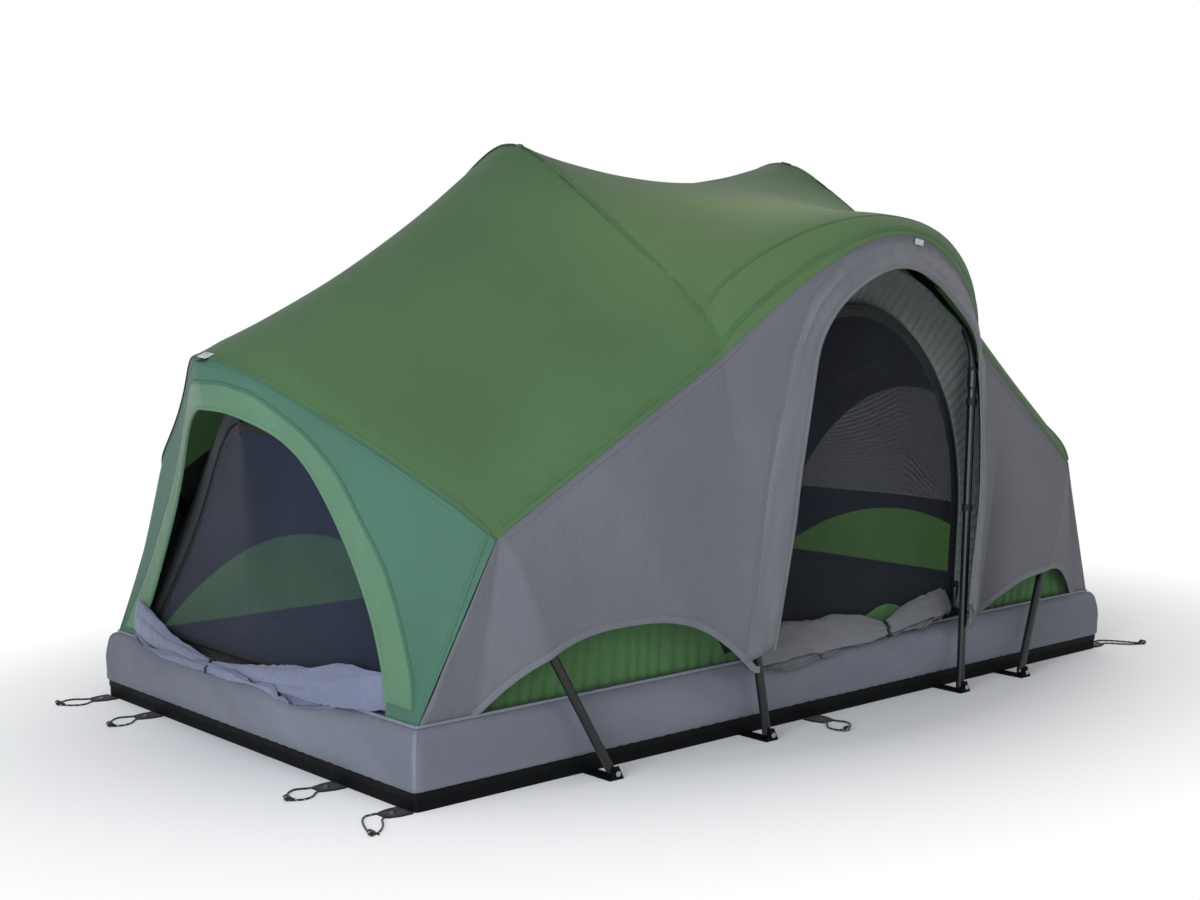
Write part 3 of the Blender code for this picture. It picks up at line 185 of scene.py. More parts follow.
class TentSizes(bpy.types.PropertyGroup):
    """Sizes of the details."""

    piping: metres("Piping radius", "Radius of the piping on the hem", 0.0032, 0.001, 0.008)
    seam: metres("Seam width", "Width of a flat seam over a hoop", 0.011, 0.004, 0.03)
    crease: metres("Crease depth", "Depth of the soft folds in the fly", 0.0034, 0.0, 0.01)
    gather: metres("Gather depth", "Depth of the gathers in the lower walls", 0.005, 0.0, 0.012)
    tooth: metres("Zip tooth", "Spacing of the zip teeth", 0.006, 0.002, 0.01)
    lens: FloatProperty(name="Camera lens", description="Focal length of the camera, in millimetres",
                        default=53.43, min=20, max=200)


class TentColours(bpy.types.PropertyGroup):
    """Colours of the cloth and trims."""

    roof: tint("Roof", "Green of the fly's roof", "4c6f44")
    # The roof's lit green is a painted highlight on the middle bay, where light falls on the roof.
    roof_light: tint("Roof, lit", "Yellower green of the middle bay", "7b944e")
    end: tint("End", "Teal green of the fly's ends", "47725c")
    band: tint("Window band", "Pale green round the windows", "5c8463")
    side: tint("Side", "Grey of the fly's sides", "6c6d72")
    base: tint("Base", "Grey of the band round the base", "797c86")
    # The flap's cool grey is partly the cloth's own grey and partly a painted cast of cool lamp light.
    flap: tint("Flap", "Cool grey of the rolled flaps", "71778d")
    kick: tint("Lower wall", "Green of the gathered lower walls", "41703a")
    gusset: tint("Gusset", "Grey of the ruched gusset", "6d7470")
    inner: tint("Inner cloth", "Dark cloth of the inner tent", "23282d")
    mesh: tint("Mesh", "Navy black of the mesh", "232937")
    black: tint("Black", "Black of the tub, webbing and tubes", "181a1b")


def sizes():
    """The sizes that the user may change."""
    return bpy.context.scene.tent_sizes


def colours():
    """The colours that the user may change."""
    return bpy.context.scene.tent_colours


class Value:
    """A socket in a material, so that shader maths reads as Python."""

    def __init__(self, tree, socket):
        self.tree, self.socket = tree, socket

    def maths(self, operation, *others, clamp=False):
        node = self.tree.nodes.new("ShaderNodeMath")
        node.operation = operation
        node.use_clamp = clamp
        for slot, item in zip(node.inputs, (self, *others)):
            connect(self.tree, slot, item)
        return Value(self.tree, node.outputs[0])

    def __add__(self, other):
        return self.maths("ADD", other)

    def __sub__(self, other):
        return self.maths("SUBTRACT", other)

    def __mul__(self, other):
        return self.maths("MULTIPLY", other)

    def __truediv__(self, other):
        return self.maths("DIVIDE", other)

    def __rsub__(self, other):
        return self * -1 + other

    def __pow__(self, other):
        return self.maths("POWER", other)

    __radd__ = __add__
    __rmul__ = __mul__

    def sine(self):
        return self.maths("SINE")

    def size(self):
        return self.maths("ABSOLUTE")

    def below(self, limit):
        return self.maths("LESS_THAN", limit)

    def above(self, limit):
        return self.maths("GREATER_THAN", limit)

    def ramp(self, low, high):
        """0 below low, 1 above high, straight between them."""
        return ((self - low) * (1 / (high - low))).maths("ADD", 0.0, clamp=True)


def connect(tree, slot, item):
    """Link a value to a socket, or set a number or colour on it."""
    if isinstance(item, Value):
        tree.links.new(item.socket, slot)
    elif hasattr(slot.default_value, "__len__") and len(slot.default_value) == 4:
        slot.default_value = (*item[:3], 1.0)
    else:
        slot.default_value = item


class Finish:
    """A material in the making, with its Principled shader."""

    def __init__(self, name, **constants):
        self.material = bpy.data.materials.new(name)
        self.material.use_nodes = True
        self.tree = self.material.node_tree
        self.shader = self.tree.nodes["Principled BSDF"]
        self.set(**constants)

    def set(self, **values):
        """Set or link the shader's own sockets."""
        for name, item in values.items():
            connect(self.tree, self.shader.inputs[name.replace("_", " ")], item)

    def node(self, kind, settings=(), output=0, **values):
        """A node of a kind, with its settings first and then its sockets."""
        made = self.tree.nodes.new("ShaderNode" + kind)
        for name, item in dict(settings).items():
            setattr(made, name, item)
        for name, item in values.items():
            connect(self.tree, made.inputs[name.replace("_", " ")], item)
        return Value(self.tree, made.outputs[output])

    def place(self, kind="Object"):
        """Coordinates of a kind."""
        return self.node("TexCoord", output=kind)

    def split(self, vector):
        """The three numbers of a vector."""
        first = self.node("SeparateXYZ", Vector=vector)
        made = first.socket.node
        return [Value(self.tree, made.outputs[i]) for i in range(3)]

    def grain(self, scale, detail=3.0, rough=0.55, where=None):
        """Noise from 0 to 1."""
        where = self.place() if where is None else where
        return self.node("TexNoise", Vector=where, Scale=scale, Detail=detail, Roughness=rough)

    def streaks(self, scale, detail=3.0, rough=0.6, kind="Object"):
        """Noise that is drawn out one way by a scale on each axis."""
        return self.grain(1.0, detail, rough, self.node("Mapping", Vector=self.place(kind), Scale=scale))

    def tone(self, colour, low, high, share):
        """A colour between two shades of it."""
        return self.blend(dimmed(colour, low), dimmed(colour, high), share)

    def blend(self, first, second, share):
        """A colour between two colours."""
        node = self.tree.nodes.new("ShaderNodeMix")
        node.data_type = "RGBA"
        for slot, item in ((node.inputs[0], share), (node.inputs[6], first), (node.inputs[7], second)):
            connect(self.tree, slot, item)
        return Value(self.tree, node.outputs[2])

    def attribute(self, name):
        """A number that a piece carries on its points."""
        return self.node("Attribute", {"attribute_name": name}, output="Fac")

    def bump(self, height, distance, strength=0.5, after=None):
        """A normal from heights."""
        values = {"Height": height, "Distance": distance, "Strength": strength}
        if after is not None:
            values["Normal"] = after
        return self.node("Bump", **values)


def kept(maker):
    """Keep what a maker of materials gives, so that each name is made once."""
    def find(name, *given, **options):
        if name not in FINISHES:
            FINISHES[name] = maker(name, *given, **options).material
        return FINISHES[name]

    return find


def dimmed(colour, share):
    """A colour, darker or paler."""
    return tuple(min(part * share, 1.0) for part in colour)


@kept
def cloth_finish(name, colour, second=None, worn=0.07, rough=0.72, sheen=0.1, creases=0.5, glow=0.0):
    """Coated woven cloth: a plain weave, cloudy colour and fine creases, over UVs in metres.

    A second colour paints a highlight in the middle of the roof, whose top is darkened as painted shade; the
    valleys of the folds are darkened as painted shade; a glow is painted light, an emission that stands in
    for daylight coming through the cloth.
    """
    made = Finish(name, Sheen_Weight=sheen, Sheen_Roughness=0.5, Specular_IOR_Level=0.34,
                  Emission_Strength=glow)
    across, along, _ = made.split(made.place("UV"))
    threads = (across * (tau / 0.0013)).sine() * (along * (tau / 0.0013)).sine()
    cloud = made.grain(2.6, 4.0)
    speck = made.grain(420.0, 2.0, 0.7)
    streak = made.streaks((3.0, 3.0, 26.0))
    tone = made.tone(colour, 1 - worn * 1.6, 1 + worn, cloud.ramp(0.3, 0.7))
    if second:
        x, y, z = made.split(made.place())
        # Painted highlight: the second colour fills an oval round the middle bay.
        away = ((x - 0.05) * (x - 0.05) * 3.2 + (y + 0.42) * (y + 0.42) * 6.0) ** 0.5
        tone = made.blend(tone, second, (1.0 - away).ramp(0.0, 1.0))
        # Painted shade: the roof grows darker towards its top.
        tone = made.blend(tone, dimmed(colour, 0.7), z.ramp(1.1, 1.24) * 0.8)
    tone = made.blend(tone, dimmed(colour, 0.8), threads.ramp(0.1, 1.0) * 0.08 + speck.ramp(0.55, 0.8) * 0.1)
    # Painted shade: the valleys of folds are darkened by the fold depth that each point carries.
    crease_shade = made.attribute("fold")
    tone = made.blend(tone, dimmed(colour, 0.55), crease_shade.ramp(0.0, 1.0) * 0.55)
    crease = made.streaks((9.0, 15.0, 6.0), 5.0, 0.62)
    soft = made.bump(crease, 0.01, creases)
    fine = made.bump(threads, 0.00022, 0.35, soft)
    made.set(Base_Color=tone, Roughness=rough + (streak - 0.5) * 0.14 + (speck - 0.5) * 0.06, Normal=fine)
    # Painted light: the cloth glows with its own colour, as if daylight came through it.
    if glow:
        made.set(Emission_Color=tone)
    return made


@kept
def tape_finish(name, colour, stitch=None):
    """A folded tape or flat seam, with two rows of stitches along its edges; v runs across, in metres."""
    made = Finish(name, Sheen_Weight=0.08, Sheen_Roughness=0.5, Specular_IOR_Level=0.32)
    along, across, _ = made.split(made.place("UV"))
    rib = (along * (tau / 0.0016)).sine()
    line = (across.size() - 0.003).size().below(0.00045)
    dash = (along * (tau / 0.0042)).sine().above(-0.35)
    sewn = line * dash
    cloud = made.grain(9.0, 3.0)
    tone = made.tone(colour, 0.88, 1.08, cloud.ramp(0.3, 0.7))
    tone = made.blend(tone, stitch or dimmed(colour, 0.55), sewn * 0.8)
    pucker = made.streaks((130.0, 40.0, 1.0), 2.0, 0.5, "UV")
    soft = made.bump(pucker, 0.0016, 0.5)
    fine = made.bump(sewn * -0.6 + rib * 0.2, 0.0004, 0.6, soft)
    made.set(Base_Color=tone, Roughness=0.7 + (cloud - 0.5) * 0.12, Normal=fine)
    return made


@kept
def mesh_finish(name, colour, open_share):
    """Insect mesh: round holes in a fine net, over UVs in metres."""
    made = Finish(name, Specular_IOR_Level=0.2, Sheen_Weight=0.15)
    across, along, _ = made.split(made.place("UV"))
    net = (across * (pi / 0.0017)).sine().size() * (along * (pi / 0.0017)).sine().size()
    cloud = made.grain(3.0, 3.0)
    tone = made.tone(colour, 0.75, 1.35, cloud.ramp(0.3, 0.7))
    slack = made.streaks((5.0, 5.0, 2.0), 3.0, 0.5)
    made.set(Base_Color=tone, Roughness=0.8 + (cloud - 0.5) * 0.1,
             Alpha=1.0 - net.ramp(0.15, 0.55) * open_share, Normal=made.bump(slack, 0.01, 0.4))
    return made


@kept
def tube_finish(name, colour):
    """Satin black coat on tube: fine orange peel, and rubbed streaks along its length."""
    made = Finish(name, Specular_IOR_Level=0.5)
    peel = made.grain(700.0, 2.0)
    rub = made.streaks((60.0, 60.0, 5.0), 4.0)
    tone = made.tone(colour, 0.8, 2.0, rub.ramp(0.58, 0.85))
    made.set(Base_Color=tone, Roughness=0.34 + (rub - 0.5) * 0.25, Normal=made.bump(peel, 0.00025, 0.4))
    return made


@kept
def metal_finish(name, colour):
    """Plated metal with fine turning marks."""
    made = Finish(name, Metallic=1.0)
    haze = made.grain(90.0, 3.0)
    mark = made.streaks((900.0, 900.0, 120.0))
    tone = made.blend(dimmed(colour, 0.8), colour, haze.ramp(0.3, 0.7))
    made.set(Base_Color=tone, Roughness=0.28 + (mark - 0.5) * 0.2, Normal=made.bump(mark, 0.0001, 0.3))
    return made


@kept
def moulded_finish(name, colour, rough=0.5, shine=0.4):
    """Coated or moulded black: fine pebble, scuffed a little on its outer faces."""
    made = Finish(name, Specular_IOR_Level=shine)
    pebble = made.node("TexVoronoi", Vector=made.place(), Scale=520.0)
    scuff = made.grain(30.0, 5.0, 0.65)
    soft = made.streaks((7.0, 7.0, 30.0), 4.0)
    tone = made.tone(colour, 0.8, 1.7, scuff.ramp(0.55, 0.8))
    fold = made.bump(soft, 0.004, 0.5)
    made.set(Base_Color=tone, Roughness=rough + (scuff - 0.5) * 0.3,
             Normal=made.bump(pebble, 0.0002, 0.3, fold))
    return made


@kept
def webbing_finish(name, colour):
    """Flat webbing: a chevron weave in relief, on Object coordinates."""
    made = Finish(name, Specular_IOR_Level=0.3, Sheen_Weight=0.12)
    across, along, _ = made.split(made.place())
    rib = (across * (tau / 0.0022)).sine() * (along * (tau / 0.0022)).sine()
    cloud = made.grain(60.0, 3.0)
    tone = made.tone(colour, 0.7, 1.6, cloud.ramp(0.3, 0.7) * 0.5 + rib.ramp(0, 1) * 0.3)
    made.set(Base_Color=tone, Roughness=0.62 + (cloud - 0.5) * 0.2, Normal=made.bump(rib, 0.0003, 0.5))
    return made


@kept
def cord_finish(name, colour):
    """Braided shock cord: crossing strands with pale flecks; u runs round, v along in metres."""
    made = Finish(name, Specular_IOR_Level=0.3, Sheen_Weight=0.2)
    along, around, _ = made.split(made.place("UV"))
    one = (along * 1300.0 + around * tau * 3).sine()
    two = (along * 1300.0 - around * tau * 3).sine()
    braid = one * two
    fleck = (along * 420.0 + around * tau).sine().above(0.8) * one.above(0.2)
    tone = made.tone(colour, 0.8, 1.8, braid.ramp(0.2, 1.0))
    tone = made.blend(tone, linear("b9bcbc"), fleck * 0.75)
    made.set(Base_Color=tone, Roughness=0.75 + braid * 0.06, Normal=made.bump(braid, 0.0004, 0.7))
    return made


def mix_shaders(tree, share, first, second, output):
    """Send a mix of two shaders to an output."""
    mix = tree.nodes.new("ShaderNodeMixShader")
    connect(tree, mix.inputs[0], share)
    tree.links.new(first.outputs[0], mix.inputs[1])
    tree.links.new(second.outputs[0], mix.inputs[2])
    tree.links.new(mix.outputs[0], tree.nodes[output].inputs["Surface"])


def floor_finish():
    """Pale floor that turns into the plain background away from the tent, and keeps the shadow."""
    made = Finish("floor_paint", Base_Color=(0.93, 0.93, 0.93), Roughness=0.95, Specular_IOR_Level=0.0)
    light = made.node("Emission", Color=(1.0, 1.0, 1.0)).socket.node
    x, y, _ = made.split(made.place())
    far = (((x - 0.1) * (x - 0.1) * 0.3 + y * y * 0.62) ** 0.5).ramp(0.62, 1.15)
    seen = sum(made.node("LightPath", output=f"Is {ray} Ray") for ray in ("Camera", "Glossy", "Transmission"))
    mix_shaders(made.tree, far * seen.ramp(0.0, 1.0), made.shader, light, "Material Output")
    return made.material


# Shapes shared with the part's source


def peak_share(share, rounding):
    """Height of a line that falls from a rounded peak at 0 to nothing at -1 and 1."""
    fall = sqrt(share * share + rounding * rounding) - rounding
    return 1 - fall / (sqrt(1 + rounding * rounding) - rounding)


def bow_fullness(across):
    """How a bow swells above its line, most just inside the shoulders."""
    width = abs(across)
    return width ** 1.3 * (1 - width ** 20)


class Hoop:
    """One bent tube: two legs from the pins to the shoulders, and the bow over the ridge."""

    def __init__(self, name, side, foot_x, shoulder, peak, fullness):
        self.name, self.side, self.foot_x, self.fullness = name, side, side * foot_x, fullness
        self.shoulder = Vector((side * shoulder[0], shoulder[1], shoulder[2]))
        self.peak_x, self.peak_z = side * peak[0], peak[1]

    def foot(self, sign):
        return Vector((self.foot_x, sign * FOOT_Y, PIVOT_HEIGHT))

    def shoulder_point(self, sign):
        return Vector((self.shoulder.x, sign * self.shoulder.y, self.shoulder.z))

    def rafter(self, across):
        rise = peak_share(across, RIDGE_ROUND) + self.fullness * bow_fullness(across)
        x = self.shoulder.x + (self.peak_x - self.shoulder.x) * rise
        z = self.shoulder.z + (self.peak_z - self.shoulder.z) * rise
        return Vector((x, across * self.shoulder.y, z))

    def outward(self, across):
        step = 0.01
        tangent = (self.rafter(min(across + step, 1.0)) - self.rafter(max(across - step, -1.0))).normalized()
        up = Vector((self.peak_x - self.shoulder.x, 0, self.peak_z - self.shoulder.z))
        return (up - up.dot(tangent) * tangent).normalized()

    def cloth_over(self, across):
        if abs(across) < 1.0:
            return self.rafter(across) + self.outward(across) * HOOP_OFFSET
        shoulder = self.shoulder_point(across)
        down = (self.foot(across) - shoulder).normalized()
        up = (self.rafter(across * 0.9) - shoulder).normalized()
        half_angle = down.angle(up) / 2
        return shoulder - (down + up).normalized() * HOOP_OFFSET / sin(half_angle)

    def leg_at(self, sign, height):
        low, high = self.foot(sign), self.shoulder_point(sign)
        return low.lerp(high, (height - low.z) / (high.z - low.z))


LEFT_END = Hoop("left_end", -1, 0.647, (0.88, 0.607, 0.472), (1.055, 0.813), END_FULLNESS)
LEFT_MAIN = Hoop("left_main", -1, 0.222, (0.338, 0.64, 0.786), (0.358, 1.2225), MAIN_FULLNESS)
RIGHT_MAIN = Hoop("right_main", 1, 0.416, (0.469, 0.645, 0.786), (0.498, 1.2145), MAIN_FULLNESS)
RIGHT_END = Hoop("right_end", 1, 0.647, (0.885, 0.607, 0.48), (1.055, 0.813), END_FULLNESS)
HOOPS = (LEFT_END, LEFT_MAIN, RIGHT_MAIN, RIGHT_END)


def brim_point(hoop, across):
    """Edge of the roof past an end hoop."""
    reach = BRIM_REACH * (0.83 * peak_share(across, 0.04) ** 3 + 0.17 * (1 - across ** 20))
    drop = BRIM_DROP * peak_share(across, BRIM_ROUND)
    return hoop.cloth_over(across) + Vector((hoop.side * reach, 0, -drop))


def roof_point(station, across):
    """Outer face of the roof; stations run from the left brim (0) over the hoops (1 to 4) to 5."""
    if station <= 1:
        return brim_point(LEFT_END, across).lerp(LEFT_END.cloth_over(across), station)
    if station >= 4:
        return RIGHT_END.cloth_over(across).lerp(brim_point(RIGHT_END, across), station - 4)
    start, end = HOOPS[int(station) - 1], HOOPS[min(int(station), 3)]
    share = station - int(station)
    if station in (2, 3):
        return start.cloth_over(across)
    point = start.cloth_over(across).lerp(end.cloth_over(across), share)
    if 2 < station < 3:
        return point + brow_shift(share, across) + brow_crest(share, across)
    point.z -= BAY_SAG * 4 * share * (1 - share) * (1 - across * across)
    return point


def brow_shift(share, across):
    """How the brow lifts the roof's edge over a door, and how the ridge hangs between the hoops."""
    arch = peak_share(2 * share - 1, BROW_ROUND) ** (0.8 if share > 0.5 else 1.0)
    width = abs(across)
    out = (1 if across > 0 else -1) * BROW_REACH * width ** 1.3
    sag = RIDGE_SAG * (1 - width) ** 2 * 4 * share * (1 - share)
    flat = MAIN_FULLNESS * bow_fullness(across) * (LEFT_MAIN.peak_z - LEFT_MAIN.shoulder.z) * arch
    return Vector((0, out * arch, BROW_RISE * width ** 1.5 * arch - sag - flat))


def brow_crest(share, across):
    """The roof stands proud of its edge just behind the brow."""
    step = 0.02
    before, after = (brow_shift(min(max(share + turn, 0.0), 1.0), 1.0) for turn in (-step, step))
    span = RIGHT_MAIN.shoulder.x - LEFT_MAIN.shoulder.x
    square = Vector((-(after.z - before.z) / (span * 2 * step), 0.0, 1.0)).normalized()
    width = abs(across)
    arch = peak_share(2 * share - 1, BROW_ROUND)
    return square * BROW_ROLL * (width ** 4 - width ** 24) / 0.58 * sqrt(max(arch, 0.0)) * (1.3 - arch)


def lens_rise(x):
    """Height of the lens openings over the hem."""
    rise = 0.0
    for start, end, height in (LEFT_LENS, RIGHT_LENS):
        place = (x - (start + end) / 2) / ((end - start) / 2)
        rise = max(rise, height * (1 - abs(place) ** 2.6))
    return rise


def side_columns():
    """The side's columns: place on the hem, share of the way out to the legs, and roof station."""
    pocket = 0.018
    left_leg, left_main = LEFT_END.leg_at(1, 0.235).x, LEFT_MAIN.leg_at(1, 0.22).x
    right_main, right_leg = RIGHT_MAIN.leg_at(1, 0.22).x, RIGHT_END.leg_at(1, 0.205).x
    corner = HEM_X - CORNER_SEAM
    brow = BROW_STATIONS
    return ((-corner, 0.0, 1.006), (-0.965, 0.0, 1.01), (LEFT_LENS[0], 0.02, 1.014), (-0.845, 0.45, 1.019),
            (left_leg - pocket, 1.0, 1.026), (left_leg + pocket, 1.0, 1.05), (-0.66, 1.0, 1.22),
            (-0.56, 1.0, 1.42), (-0.45, 1.0, 1.62), (-0.34, 0.95, 1.82),
            (left_main - pocket * 1.4, 1.0, 1.95), (left_main, 1.08, 2.0), (left_main + 0.045, 1.08, brow[0]),
            (-0.13, 1.02, brow[1]), (-0.05, 1.0, brow[2]), (0.03, 1.0, brow[3]), (0.1, 1.0, brow[4]),
            (0.17, 1.0, brow[5]), (0.24, 1.0, brow[6]), (0.31, 1.02, brow[7]), (0.37, 1.08, brow[8]),
            (right_main, 1.08, 3.0), (right_main + 0.04, 0.85, 3.06), (0.53, 0.4, 3.18),
            (RIGHT_LENS[0], 0.02, 3.3), (0.645, 0.55, 3.55), (right_leg - pocket, 1.0, 3.9),
            (right_leg + pocket, 1.0, 3.97), (0.845, 0.62, 3.978), (0.905, 0.3, 3.982),
            (RIGHT_LENS[1], 0.02, 3.986), (corner, 0.0, 3.99))


def leg_line(x, height):
    """How far out the cloth stands where it covers the legs, between the hoops."""
    lines = [(hoop.leg_at(1, height).x, hoop.leg_at(1, height).y) for hoop in HOOPS]
    if x <= lines[0][0]:
        return lines[0][1]
    for (start, low), (end, high) in zip(lines, lines[1:]):
        if x <= end:
            return low + (high - low) * (x - start) / (end - start)
    return lines[-1][1]


def side_column(sign, x, out, station, shares):
    """One column of the side, from its lower edge to the eave."""
    height = HEM_HEIGHT + HEM_LIFT + lens_rise(x)
    y = HEM_Y + (leg_line(x, height) + HOOP_OFFSET - HEM_Y) * out
    low = Vector((x, sign * y, height))
    high = roof_point(station, sign * 1.0)
    high = high + (low - high).normalized() * SEAM_DROP + Vector((0, -sign * SEAM_GAP, 0))
    bulge = Vector((0.0, sign * LEG_BULGE * min(out, 1.0), 0.0))
    return [low.lerp(high, share) + bulge * 4 * share * (1 - share) for share in shares]


def inner_section(station, walls, roofs):
    """Points round the inner tent at a roof station, from the near hem over the ridge to the far one."""
    hem_x = (HALF_LENGTH - INNER_HEM_INSET) * (2 * (station - 1) / 3 - 1)
    ridge = roof_point(station, 0.0)
    ridge = Vector((ridge.x * 0.985, 0, ridge.z - INNER_DROP - 0.014))
    points = []
    for sign in (-1, 1):
        hem = Vector((hem_x, sign * (HALF_WIDTH - INNER_HEM_INSET), HEM_HEIGHT + HEM_LIFT))
        edge = roof_point(station, sign * 1.0)
        if 2 < station < 3:
            lift = peak_share(2 * (station - 2) - 1, BROW_ROUND)
            start, end = HOOPS[1].cloth_over(sign * 1.0), HOOPS[2].cloth_over(sign * 1.0)
            edge = start.lerp(end, station - 2) + Vector((0, 0, INNER_BROW_RISE * lift))
        eave = Vector((edge.x, edge.y - sign * INNER_SIDE, edge.z - INNER_DROP))
        if station in (1, 4):
            eave.x -= (1 if station == 4 else -1) * INNER_END_TUCK
        half = [hem.lerp(eave, step) for step in walls] + [eave.lerp(ridge, step) for step in roofs]
        points = half + [ridge] if sign < 0 else points + half[::-1]
    return points


# Ways of making and placing pieces


def smooth(share):
    """An even step from 0 to 1."""
    share = min(max(share, 0.0), 1.0)
    return share * share * (3 - 2 * share)


def spread(start, end, count):
    """Evenly spaced numbers, both ends included."""
    return [start + (end - start) * i / (count - 1) for i in range(count)]


def pick(points, place):
    """Straight interpolation in (x, ...) rows at a place in x."""
    if place <= points[0][0]:
        return points[0][1:]
    for first, second in zip(points, points[1:]):
        if place <= second[0]:
            share = (place - first[0]) / (second[0] - first[0])
            return tuple(a + (b - a) * share for a, b in zip(first[1:], second[1:]))
    return points[-1][1:]


def only(piece):
    """Select one piece and make it the active one."""
    bpy.ops.object.select_all(action="DESELECT")
    bpy.context.view_layer.objects.active = piece
    piece.select_set(True)


def modify(piece, kind, **settings):
    """Add a modifier and apply it."""
    only(piece)
    step = piece.modifiers.new(kind.lower(), kind)
    for name, item in settings.items():
        setattr(step, name, item)
    bpy.ops.object.modifier_apply(modifier=step.name)


def linked(name, data):
    """A new object in the scene, with its data."""
    made = bpy.data.objects.new(name, data)
    bpy.context.scene.collection.objects.link(made)
    return made


def mesh_of(name, shape):
    """A mesh from a bmesh, which is then let go."""
    mesh = bpy.data.meshes.new(name)
    shape.to_mesh(mesh)
    shape.free()
    return mesh


def prism(outline, step):
    """A closed bmesh: an outline that is pushed out by a step."""
    shape = bmesh.new()
    face = shape.faces.new([shape.verts.new(point) for point in outline])
    pushed = bmesh.ops.extrude_face_region(shape, geom=[face])
    corners = [item for item in pushed["geom"] if isinstance(item, bmesh.types.BMVert)]
    bmesh.ops.translate(shape, verts=corners, vec=step)
    bmesh.ops.recalc_face_normals(shape, faces=shape.faces)
    return shape


def add_piece(name, shape, finish):
    """A bmesh as a piece, shaded smooth but for its sharp edges."""
    piece = linked(name, mesh_of(name, shape))
    piece.data.materials.append(finish)
    only(piece)
    bpy.ops.object.shade_smooth_by_angle(angle=SMOOTH_ANGLE)
    return piece


def paint(piece, finish):
    """Give a piece one finish in place of what it had."""
    piece.data.materials.clear()
    piece.data.materials.append(finish)


def settle(piece, *nodes, body="base", folds=False, slot=None):
    """Hide what a finished piece replaces and hang it on the body that it rides on; a piece that folds gets a
    mesh of its own.
    """
    if nodes:
        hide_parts(*nodes)
    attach(piece, body)
    if folds:
        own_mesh(piece)
    return piece


def running(points):
    """Length along points, from 0."""
    total, made = 0.0, [0.0]
    for first, second in zip(points, points[1:]):
        total += (second - first).length
        made.append(total)
    return made


def girths(rows):
    """Mean length along the rows and along the columns, as running lengths."""
    across = [running(row) for row in rows]
    along = [running(column) for column in zip(*rows)]
    mean = [[sum(line[i] for line in lines) / len(lines) for i in range(len(lines[0]))]
            for lines in (across, along)]
    return mean[0], mean[1]


def out_of(point, normal, inside=INSIDE):
    """A normal that points away from the inside of the tent."""
    return normal if normal.dot(point - inside) >= 0 else -normal


def crumple(rows, height, inside=INSIDE):
    """Move each point of a grid along its normal by height(i, j, point); gives rows and the fold depth at
    each point, which darkens the valleys as painted shade.
    """
    moved, shade_depths = [], []
    last_row, last = len(rows) - 1, len(rows[0]) - 1
    for i, row in enumerate(rows):
        line, marks = [], []
        for j, point in enumerate(row):
            side = row[min(j + 1, last)] - row[max(j - 1, 0)]
            up = rows[min(i + 1, last_row)][j] - rows[max(i - 1, 0)][j]
            normal = out_of(point, side.cross(up).normalized(), inside)
            rise = height(i, j, point)
            line.append(point + normal * rise)
            marks.append(max(0.0, min(1.0, 0.5 - rise / 0.008)))
        moved.append(line)
        shade_depths.append(marks)
    return moved, shade_depths


def wave(point, scale, seed=0.0):
    """Smooth noise from -1 to 1, stretched by a scale on each axis."""
    return noise.noise(Vector((point.x * scale[0] + seed, point.y * scale[1] - seed, point.z * scale[2] + seed
                               * 2)))


def sheet_shape(rows, shade_depths, inside):
    """A bmesh of quads through rows of points, with UVs in metres, facing away from the inside."""
    shape = bmesh.new()
    layer = shape.loops.layers.uv.new("UVMap")
    # The fold depth on each point darkens the cloth's valleys as painted shade.
    fold = shape.verts.layers.float.new("fold")
    across, along = girths(rows)
    grid = []
    for i, row in enumerate(rows):
        line = []
        for j, point in enumerate(row):
            vert = shape.verts.new(point)
            vert[fold] = shade_depths[i][j] if shade_depths else 0.0
            line.append(vert)
        grid.append(line)
    for i in range(len(rows) - 1):
        for j in range(len(rows[0]) - 1):
            face = shape.faces.new((grid[i][j], grid[i][j + 1], grid[i + 1][j + 1], grid[i + 1][j]))
            marks = ((across[j], along[i]), (across[j + 1], along[i]), (across[j + 1], along[i + 1]),
                     (across[j], along[i + 1]))
            for loop, mark in zip(face.loops, marks):
                loop[layer].uv = mark
    bmesh.ops.remove_doubles(shape, verts=shape.verts, dist=0.00002)
    shape.normal_update()
    flux = sum((face.calc_center_median() - inside).dot(face.normal) * face.calc_area()
               for face in shape.faces)
    if flux < 0:
        bmesh.ops.reverse_faces(shape, faces=shape.faces)
    return shape


def cloth(name, rows, finish, shade_depths=None, wall=CLOTH, inside=INSIDE, offset=-1.0, keep_tree=True, back=None):
    """One continuous sheet of cloth with its thickness inwards; its outer face is kept to lay trims on."""
    shape = sheet_shape(rows, shade_depths, inside)
    if keep_tree:
        TREES[name] = BVHTree.FromBMesh(shape)
    piece = add_piece(name, shape, finish)
    if back:
        piece.data.materials.append(back)
    modify(piece, "SOLIDIFY", thickness=wall, offset=offset, use_even_offset=False, material_offset=1 if back
           else 0)
    return piece


def flat_size(rows):
    """Girth across and along a grid, which is what its cloth was cut to."""
    across, along = girths(rows)
    return round(across[-1], 3), round(along[-1], 3)


def declare(piece, flat, held, rests_on, share=None, **more):
    """Work out the area of cloth from the size that a sheet was cut to and the share of it that the cloth
    fills; the area is not kept, and how the piece is held is not used.
    """
    if share:
        more["area"] = round(flat[0] * flat[1] * share, 3)


def fold_down(pieces, slot):
    """Hang trims on the base, each with a mesh of its own."""
    for piece in pieces:
        settle(piece, folds=True, slot=slot)


def cutter(name, outline, low, high, axis):
    """A closed prism: an outline of two coordinates pushed out along X or Y."""
    points = [(low, a, b) if axis == "X" else (a, low, b) for a, b in outline]
    step = (high - low, 0, 0) if axis == "X" else (0, high - low, 0)
    return linked(name, mesh_of(name, prism(points, step)))


def cut(piece, tool, operation="DIFFERENCE"):
    """Cut a piece with a closed tool, and remove the tool."""
    modify(piece, "BOOLEAN", object=tool, operation=operation, solver="EXACT")
    bpy.data.objects.remove(tool, do_unlink=True)


